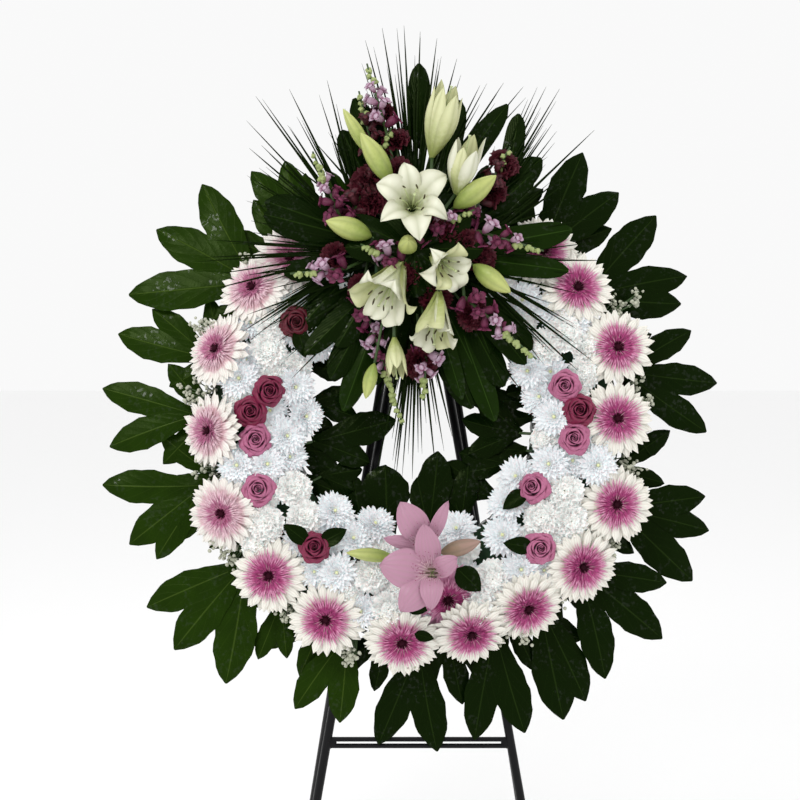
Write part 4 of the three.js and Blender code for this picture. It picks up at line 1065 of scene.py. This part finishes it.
# Each petal: its foot, its tip, its half width and its arch.
PINK_PETALS = [
    (PINK_BACK, (-22, -126, 168), 24, 16),
    (PINK_BACK, (52, -124, 166), 11, 14),
    (PINK_BACK, (-48, -182, 160), 11, 8),
    (PINK_THROAT, (14, -160, 182), 20, 12),
    (PINK_THROAT, (66, -212, 180), 17, 14),
    (PINK_THROAT, (-54, -222, 178), 31, 18),
    (PINK_THROAT, (-22, -294, 176), 25, 18),
    (PINK_THROAT, (24, -292, 184), 18, 20),
]
# Each leaf: its foot, its turn, its length and its half width.
PINK_LEAVES = [
    ((66, -228, 122), -0.75, 52, 19),
    ((-12, -284, 124), -0.3, 34, 12),
    ((0, -330, 112), -0.25, 32, 9),
]
mauve_bud = petal_surface("lily_bud_mauve", (0.26, 0.19, 0.11, 1), (0.36, 0.23, 0.19, 1),
                          0.0, 0.9, 6, 0.5, 0.45)
PINK_BUDS = [
    ((-30, -212, 118), (-106, -204, 128), 11, bud_green),
    ((40, -204, 118), (103, -186, 128), 13, mauve_bud),
]


def pink_surface():
    """Mauve-pink, with dark specks and pale rays near the throat."""
    material = petal_surface("lily_pink", (0.6, 0.4, 0.43, 1), (0.43, 0.22, 0.31, 1),
                             0.0, 0.35, 7, 0.3, 0.42, 0.6)
    tree = material.node_tree
    base = tree.nodes["Principled BSDF"].inputs["Base Color"]
    color = base.links[0].from_socket
    across, along = across_and_along(tree)
    near = worked(tree, 0.42, ("SUBTRACT", along), ("MAXIMUM", 0.0))
    ray = worked(tree, across, ("MULTIPLY", 62.8), ("SINE",), ("MAXIMUM", 0.0),
                 ("MULTIPLY", near), ("MULTIPLY", 2.6), ("MINIMUM", 1.0))
    color = mix_colors(tree, ray, color, (0.9, 0.74, 0.76, 1))
    coords = tree.nodes.new("ShaderNodeTexCoord")
    cells = tree.nodes.new("ShaderNodeTexVoronoi")
    cells.inputs["Scale"].default_value = 190
    tree.links.new(coords.outputs["Object"], cells.inputs["Vector"])
    reach = worked(tree, along, ("MULTIPLY", -0.66), ("ADD", 0.46))
    clear_of_foot = worked(tree, along, ("GREATER_THAN", 0.17))
    speck = worked(tree, cells.outputs["Distance"], ("LESS_THAN", reach),
                   ("MULTIPLY", clear_of_foot), ("MULTIPLY", 0.8))
    tree.links.new(mix_colors(tree, speck, color, (0.22, 0.012, 0.08, 1)), base)
    return material


def laid(foot, tip, s, wide, lift, above=None):
    """A sheet laid from foot to tip, with its widths and its lifts off the line between them."""
    out = tip - foot
    left = unit(np.cross(FRONT, out))
    above = np.cross(unit(out), left) if above is None else above
    return foot + s[..., None] * out + wide[..., None] * left + lift[..., None] * above


def spread_petal(foot, tip, half, arch):
    """A broad petal from foot to tip, arched towards the front and dished."""
    s, t = shares(15, 11)
    outline = np.sin((0.06 + 0.94 * s) ** 1.2 * math.pi) ** 0.74 + 0.012
    lift = arch * MM * np.sin(s**1.2 * math.pi) - 0.3 * half * MM * t**2 * outline * (0.3 + s)
    lift = lift + 0.0016 * np.sin(s * 9 + draw.uniform(0, 6)) * t**3
    lift = lift - 0.0012 * np.exp(-((t / 0.1) ** 2))
    return laid(place(*foot), place(*tip), s, half * MM * outline * t, lift)


pink = pink_surface()
hub_point = place(*PINK_HUB)
throat = place(*PINK_THROAT)
sheets = [(spread_petal(*shape), pink) for shape in PINK_PETALS]
sheets.append((tube([place(*PINK_ROOT), hub_point], HUB_R, 9), stem_green))
for end in (throat, place(*PINK_BACK)):
    neck = tube([hub_point, (hub_point + end) / 2, end], [0.004, 0.007, 0.005], 11)
    sheets.append((neck, stem_green))
for i in range(6):
    turn = i * math.pi / 3
    tip = throat + (X * math.cos(turn) + UP * math.sin(turn)) * 0.007 + FRONT * 0.016
    sheets.append((tube([throat, tip], 0.0008, 6), filament))
    sheets.append((tube([tip - X * 0.0035, tip + X * 0.0035], 0.0012, 6), anther_brown))
for bud in PINK_BUDS:
    sheets += [closed_bud(*bud), long_stem(hub_point, place(*bud[0]), 0.0024)]
for spot, turn, length, half in PINK_LEAVES:
    sheets += set_at([small_leaf(length * MM, half * MM, turn)], place(*spot), facing_frame(FRONT))
piece("pink_lily_bloom", sheets, FRONT_BODY, ["pink_lily"])

# Snapdragon spikes, magenta to pale lilac with green tips, lean out of the spray. Each
# floret is a small pouch with two lips, set in turns up the stem.
# Each group: the stem's hub in the foam, then each spike's foot and tip.
SPIKES = {
    "snapdragons_left": ((-72, 262, 116), [
        ((-108, 240, 146), (-194, 230, 160)),
        ((-112, 312, 140), (-160, 426, 150)),
        ((-84, 206, 118), (-18, -4, 118)),
    ]),
    "snapdragons_right": ((72, 272, 116), [
        ((100, 300, 146), (202, 266, 160)),
        ((78, 196, 146), (190, 96, 158)),
        ((74, 320, 128), (96, 350, 132)),
    ]),
    "snapdragons_top": ((-14, 326, 120), [((-46, 470, 132), (-75, 571, 136))]),
}
TURN_STEP = 2.4
FLORETS_END = 0.58
magenta_floret = petal_surface("snapdragon_magenta", (0.05, 0.003, 0.016, 1), (0.18, 0.024, 0.078, 1),
                               0.0, 0.9, 3, 0.2)
lilac_floret = petal_surface("snapdragon_lilac", (0.2, 0.045, 0.11, 1), (0.56, 0.41, 0.52, 1),
                             0.1, 0.85, 3, 0.2)
maroon_floret = petal_surface("snapdragon_maroon", (0.016, 0.001, 0.003, 1), (0.085, 0.006, 0.016, 1),
                              0.0, 0.9, 3, 0.2)
floret_bud = mottled("snapdragon_bud", (0.16, 0.22, 0.05, 1), (0.42, 0.48, 0.2, 1), 0.5, 0.3)


def floret(size, look):
    """A pouch along Z with an upper lip of two lobes and a lower one of three."""
    pouch = tube([(0, 0, 0), (0, 0, 0.3), (0, 0, 0.7), (0, 0, 1)], [0.14, 0.27, 0.33, 0.24], 9)
    sheets = [(pouch * size, look)]
    for turn in (-0.45, 0.45, 2.3, 3.14, 3.98):
        grid = petal(0.55 * size, 0.27 * size, rows=5, cols=5, foot=0.55, tip=0.45, cup=0.5, arch=-0.5)
        sheets.append((around(grid, turn, 0.75, 0.16 * size, 0.85 * size), look))
    return sheets


def closed_florets(size):
    """Three green buds near the spike's tip."""
    sheets = []
    for turn in (0.0, 2.1, 4.2):
        length = size * draw.uniform(0.6, 0.8)
        axes = facing_frame(direction(0.6 * math.cos(turn), 0.6 * math.sin(turn), 1))
        bud = tube([(0, 0, 0), (0, 0, length * 0.45), (0, 0, length)],
                   [length * 0.3, length * 0.52, length * 0.14], 7)
        sheets.append((bud @ axes, floret_bud))
    return sheets


def spike(foot, tip, hub, dark=False):
    """A stem with florets in turns, smaller and greener to its tip."""
    foot, tip, hub = place(*foot), place(*tip), place(*hub)
    length = np.linalg.norm(tip - foot)
    way = (tip - foot) / length
    sheets = [long_stem(hub, foot, 0.0026), (tube([foot, tip], [0.0028, 0.0014], 7), stem_green)]
    count = max(10, int(length / 0.0088))
    aside = unit(np.cross(way, FRONT))
    ahead = np.cross(aside, way)
    for i in range(count):
        share = i / count
        turn = i * TURN_STEP + draw.uniform(-0.3, 0.3)
        out = aside * math.cos(turn) + ahead * math.sin(turn)
        size = 0.024 * (1 - 0.6 * share) * draw.uniform(0.85, 1.1)
        axes = facing_frame(out + way * (0.4 + share), draw.uniform(-0.4, 0.4))
        if share > FLORETS_END:
            form = closed_florets(size)
        elif dark:
            form = floret(size, maroon_floret)
        else:
            pale = draw.uniform() < 0.2 + share * 0.8
            form = floret(size, lilac_floret if pale else magenta_floret)
        sheets += set_at(form, foot + way * length * share, axes)
    return sheets


for node, (hub, spikes) in SPIKES.items():
    sheets = []
    for foot, tip in spikes:
        sheets += spike(foot, tip, hub)
    inner = np.array(hub) * [0.8, 0.96, 1.0]
    sheets.append((tube([place(*inner), place(*hub)], HUB_R, 9), stem_green))
    piece(f"{node}_florets", sheets, FRONT_BODY, [node])

# More spikes, some of them maroon, fill the spray between the lilies, and so do dark
# maroon carnations.
# Each spike: its foot, its tip, and whether it is maroon.
MORE_SPIKES = [
    ((-2, 296, 152), (94, 330, 166), False),
    ((-20, 250, 156), (-84, 276, 164), False),
    ((-94, 336, 132), (-36, 466, 138), True),
    ((104, 350, 130), (152, 436, 138), True),
    ((-62, 420, 118), (-88, 530, 122), True),
    ((20, 120, 128), (14, 34, 128), False),
]
MAROON_BLOOMS = [
    (-70, 350, 132), (-100, 318, 128), (-24, 402, 136), (-52, 500, 112), (-30, 452, 124), (144, 414, 124),
    (126, 372, 128), (84, 280, 144), (108, 258, 132), (-12, 228, 150), (34, 196, 138), (-128, 262, 132),
    (8, 92, 122), (92, 168, 134), (-84, 212, 132), (16, 330, 136), (46, 306, 150), (-76, 384, 128),
]
BLOCK_X, BLOCK_Z = 0, 269
sheets = []
for foot, tip, dark in MORE_SPIKES:
    hub = (foot[0] * 0.6, BLOCK_Z + (foot[1] - BLOCK_Z) * 0.5, 120)
    sheets += spike(foot, tip, hub, dark)
for x, z, front in MAROON_BLOOMS:
    centre = place(x, z, front)
    facing = direction(x / 260, (z - BLOCK_Z) / 260, 1)
    axes = facing_frame(facing, draw.uniform(0, 6))
    sheets += set_at(carnation(maroon_floret), centre, axes, draw.uniform(0.72, 0.95))
    in_block = place(x * 0.5, BLOCK_Z + (z - BLOCK_Z) * 0.4, 110)
    sheets.append(long_stem(in_block, centre - facing * 0.005, 0.002))
piece("snapdragons_between", sheets, FRONT_BODY)

# Palm fronds with long needles and broad ribbed blades spread behind the lilies. They
# are cut leaves, folded along the middle, stuck in the sides of the foam block.
# Each group: the hub in the foam, the needles' tips, and each broad blade's foot, tip and width.
FOLIAGE = {
    "palm_left": ((-72, 276, 94), [
        (-331, 261, 128), (-318, 288, 132), (-310, 213, 126), (-270, 144, 122), (-246, 152, 130),
        (-253, 523, 118), (-243, 443, 118), (-262, 437, 124), (-199, 533, 122), (-139, 549, 118),
    ], [((-70, 290, 104), (-238, 330, 128), 46), ((-70, 240, 100), (-150, 130, 112), 44)]),
    "palm_top": ((0, 326, 94), [
        (-78, 616, 110), (-51, 635, 116), (-16, 637, 122), (10, 629, 116), (37, 619, 112),
        (69, 587, 108), (106, 544, 104), (144, 549, 100), (176, 544, 96),
    ], [((-10, 330, 100), (-96, 520, 116), 40), ((10, 330, 98), (150, 512, 108), 34)]),
    "palm_right": ((72, 262, 94), [
        (213, 544, 96), (234, 539, 102), (221, 480, 108), (288, 469, 112), (298, 256, 128),
        (282, 96, 122), (258, 80, 128), (240, 300, 126),
    ], [((72, 290, 98), (190, 400, 112), 40), ((70, 236, 100), (120, 110, 110), 40)]),
    "palm_bottom": ((4, 212, 94), [
        (-35, -24, 96), (-30, -64, 104), (-29, -85, 92), (-3, -88, 100), (34, -72, 94), (60, -20, 100),
    ], [((14, 200, 100), (92, 24, 96), 42), ((-10, 200, 96), (-70, 60, 92), 34)]),
}
palm_green = leaf_surface("palm_needle", (0.003, 0.0085, 0.001, 1), (0.02, 0.04, 0.006, 1), 1, 0.0, 0.15)
broad_green = leaf_surface("broad_leaf", (0.003, 0.0095, 0.0009, 1), (0.02, 0.042, 0.006, 1), 10, 1.0)


def blade(foot, tip, half, rows=12, cols=7, fold=0.35, droop=0.03, swell=0.45):
    """A folded blade from foot to tip, given in mm, with its width's half in mm."""
    foot, tip = place(*foot), place(*tip)
    s, t = shares(rows, cols)
    outline = np.clip((s / swell) ** 0.7 * np.exp(0.7 * (1 - s / swell)), 0, 1)
    pointed = np.sqrt(np.clip(1 - np.clip((s - 0.75) / 0.252, 0, 1) ** 2, 0.002, 1))
    outline = outline * pointed + 0.03
    lift = droop * np.linalg.norm(tip - foot) * np.sin(s * math.pi) - fold * half * MM * np.abs(t) * outline
    return laid(foot, tip, s, half * MM * outline * t, lift, FRONT)


def needle(foot, tip, half=2.9, rows=8):
    """A long thin blade of a palm frond."""
    return blade(foot, tip, half, rows, cols=3, fold=0.5, droop=0.02, swell=0.2), palm_green


def needle_spray(hub, tips):
    """Needles to the given tips, each with five shorter ones beside it."""
    sheets = []
    hub = np.array(hub, float)
    for tip in np.array(tips, float):
        sheets.append(needle(hub, tip, 3.6, 9))
        for _ in range(5):
            other = hub + (tip - hub) * draw.uniform(0.62, 0.95) + draw.normal(0, 1, 3) * [20, 20, 3]
            sheets.append(needle(hub, other))
    return sheets


for node, (hub, needles, blades) in FOLIAGE.items():
    sheets = needle_spray(hub, needles)
    for foot, tip, width in blades:
        sheets.append((blade(foot, tip, width * 0.62, 16, 9), broad_green))
        sheets.append(long_stem(place(*hub), place(*foot), 0.002))
    piece(f"{node}_blades", sheets, FRONT_BODY, [node])

# Dark leaves of the same plants fill the spray behind the flowers, over the foam block
# and down into the ring's hole. Some are pleated palm, a lighter green.
BROAD_BLADES = [
    ((10, 440, 100), (8, 578, 112), 38), ((150, 384, 96), (168, 498, 104), 34),
    ((-20, 200, 122), (-34, 106, 120), 40), ((-66, 214, 112), (-122, 120, 116), 44),
    ((-84, 300, 108), (-236, 352, 122), 56), ((-84, 262, 108), (-206, 236, 122), 40),
    ((90, 330, 100), (204, 424, 108), 50), ((-60, 360, 100), (-116, 470, 108), 44),
    ((40, 380, 98), (74, 520, 104), 40), ((-120, 220, 108), (-190, 140, 112), 40),
    ((110, 200, 108), (186, 116, 112), 40), ((-30, 190, 96), (-96, 44, 96), 40),
    ((-60, 200, 104), (-132, 70, 106), 46), ((-70, 210, 112), (-172, 108, 120), 38),
    ((70, 200, 104), (142, 58, 106), 46), ((80, 210, 110), (176, 92, 120), 38),
]
PLEATED_BLADES = [
    ((44, 196, 104), (112, 52, 100), 34), ((30, 190, 106), (76, 38, 104), 30),
    ((84, 276, 112), (250, 306, 126), 46), ((84, 262, 114), (244, 240, 128), 38),
    ((-50, 190, 100), (-112, 20, 100), 42), ((60, 190, 100), (128, 4, 100), 42),
]
# Each round: how far forward it lies, its number of blades, where they start and end, half width.
BLADE_ROUNDS = [(104, 16, 40, 150, 23), (122, 14, 30, 120, 20), (158, 12, 4, 92, 21)]
NEEDLES_FROM, NEEDLES_TO, NEEDLE_COUNT = math.radians(-52), math.radians(232), 46
pleated_green = leaf_surface("pleated_leaf", (0.007, 0.02, 0.0018, 1), (0.035, 0.075, 0.012, 1),
                             1, 0.0, 0.2)


def off_block(turn, reach, front):
    """A point off the foam block's middle, in the direction of a turn."""
    return BLOCK_X + math.cos(turn) * reach, BLOCK_Z + math.sin(turn) * reach, front


sheets = []
for blades, look in ((BROAD_BLADES, broad_green), (PLEATED_BLADES, pleated_green)):
    sheets += [(blade(foot, tip, width / 2, 16, 9), look) for foot, tip, width in blades]
for level, count, start, reach, half in BLADE_ROUNDS:
    for i in range(count):
        turn = 2 * math.pi * i / count + draw.uniform(-0.15, 0.15)
        end = reach * draw.uniform(0.85, 1.15) * (1.15 if math.sin(turn) > 0 else 0.85)
        far = off_block(turn, end, level - 6 + draw.uniform(-8, 4))
        sheets.append((blade(off_block(turn, start, level), far, half), broad_green))
for turn in np.linspace(NEEDLES_FROM, NEEDLES_TO, NEEDLE_COUNT):
    front = 98 + 36 * max(0, 1 - abs(math.sin(turn)))
    far = off_block(turn, draw.uniform(190, 285), front)
    sheets.append(needle(off_block(turn, 50, 100), far, draw.uniform(2.6, 3.8), 9))
piece("leaves_between", sheets, FRONT_BODY)

# Sprigs of small greyish buds on hair-thin stems are cut as they grow and tucked into
# the foam round the outer edge, beside the gerberas.
SPRIGS = [
    (-382, 56), (-350, -88), (-318, -216), (-214, -312), (-110, -384), (338, -208), (242, -280),
    (386, 48), (368, 206), (-356, 170), (372, -72), (0, -396), (172, -352), (348, 180), (-290, 262),
]
waxy_bud = mottled("sprig_bud", (0.3, 0.32, 0.22, 1), (0.56, 0.56, 0.47, 1), 0.6, 0.4)
SPRIG_IN, SPRIG_FOOT = 0.93, 0.86
STALKS, BUDS = 9, 7
sheets = []
for x, z in SPRIGS:
    x, z = x * SPRIG_IN, z * SPRIG_IN
    foot = place(x * SPRIG_FOOT, z * SPRIG_FOOT, 60)
    for _ in range(STALKS):
        tip = place(x + draw.normal(0, 12), z + draw.normal(0, 12), draw.uniform(52, 72))
        sheets.append((tube([foot, tip], 0.0009, 5), stem_green))
        for _ in range(BUDS):
            spot = tip + draw.normal(0, 0.0046, 3)
            form = dome(draw.uniform(0.002, 0.0036), 0.004, 0.0, 4, 8)
            axes = facing_frame(direction(*draw.normal(0, 0.6, 2), 1))
            sheets += set_at([(form, waxy_bud)], spot, axes)
piece("sprigs", sheets, FRONT_BODY)

# The floor is plain and pale, the light is soft, and the camera looks from where the
# photograph was taken, a little above the middle of the wreath.
CAMERA_DISTANCE = 3.0
CAMERA_ELEVATION = math.radians(7)
MM_PER_PIXEL = 1.6
RING_PIXEL = (414, 425)
FRAME_PIXELS = 800
BLOOM_PLANE = 70
FLOOR_HALF = 8.0
SENSOR = 36
corners = [(x * FLOOR_HALF, y * FLOOR_HALF, 0) for x, y in ((-1, -1), (1, -1), (1, 1), (-1, 1))]
floor_mesh = bpy.data.meshes.new("floor")
floor_mesh.from_pydata(corners, [], [(0, 1, 2, 3)])
floor = bpy.data.objects.new("floor", floor_mesh)
bpy.context.scene.collection.objects.link(floor)
floor_mesh.materials.append(surface("pale_floor", (0.95, 0.95, 0.95, 1), 0.8))

aim_x = (FRAME_PIXELS / 2 - RING_PIXEL[0]) * MM_PER_PIXEL
aim_z = (RING_PIXEL[1] - FRAME_PIXELS / 2) * MM_PER_PIXEL
back = np.array([0.0, -math.cos(CAMERA_ELEVATION), math.sin(CAMERA_ELEVATION)])
camera_data = bpy.data.cameras.new("camera")
camera_data.sensor_width = SENSOR
camera_data.lens = SENSOR * CAMERA_DISTANCE / (FRAME_PIXELS * MM_PER_PIXEL * MM)
camera = bpy.data.objects.new("camera", camera_data)
camera.location = place(aim_x, aim_z, BLOOM_PLANE) + back * CAMERA_DISTANCE
camera.rotation_euler = (math.pi / 2 - CAMERA_ELEVATION, 0, 0)
bpy.context.scene.collection.objects.link(camera)
bpy.context.scene.camera = camera


def soft_light(name, location, size, power):
    """A large area light aimed at the wreath."""
    data = bpy.data.lights.new(name, "AREA")
    data.size = size
    data.energy = power
    lamp = bpy.data.objects.new(name, data)
    lamp.location = location
    away = np.array(location) - RING
    pitch = math.atan2(math.hypot(away[0], away[1]), away[2])
    lamp.rotation_euler = (pitch, 0, math.atan2(away[0], -away[1]))
    bpy.context.scene.collection.objects.link(lamp)


soft_light("key", (-1.3, -2.5, 2.9), 0.9, 34)
soft_light("fill", (2.4, -2.0, 1.6), 2.2, 7)
soft_light("top", (0.2, 0.6, 3.2), 2.0, 14)
world = bpy.data.worlds.new("studio")
world.use_nodes = True
background = world.node_tree.nodes["Background"]
background.inputs["Color"].default_value = (1.0, 1.0, 1.0, 1)
background.inputs["Strength"].default_value = 0.95
bpy.context.scene.world = world
bpy.context.scene.view_settings.view_transform = "Standard"
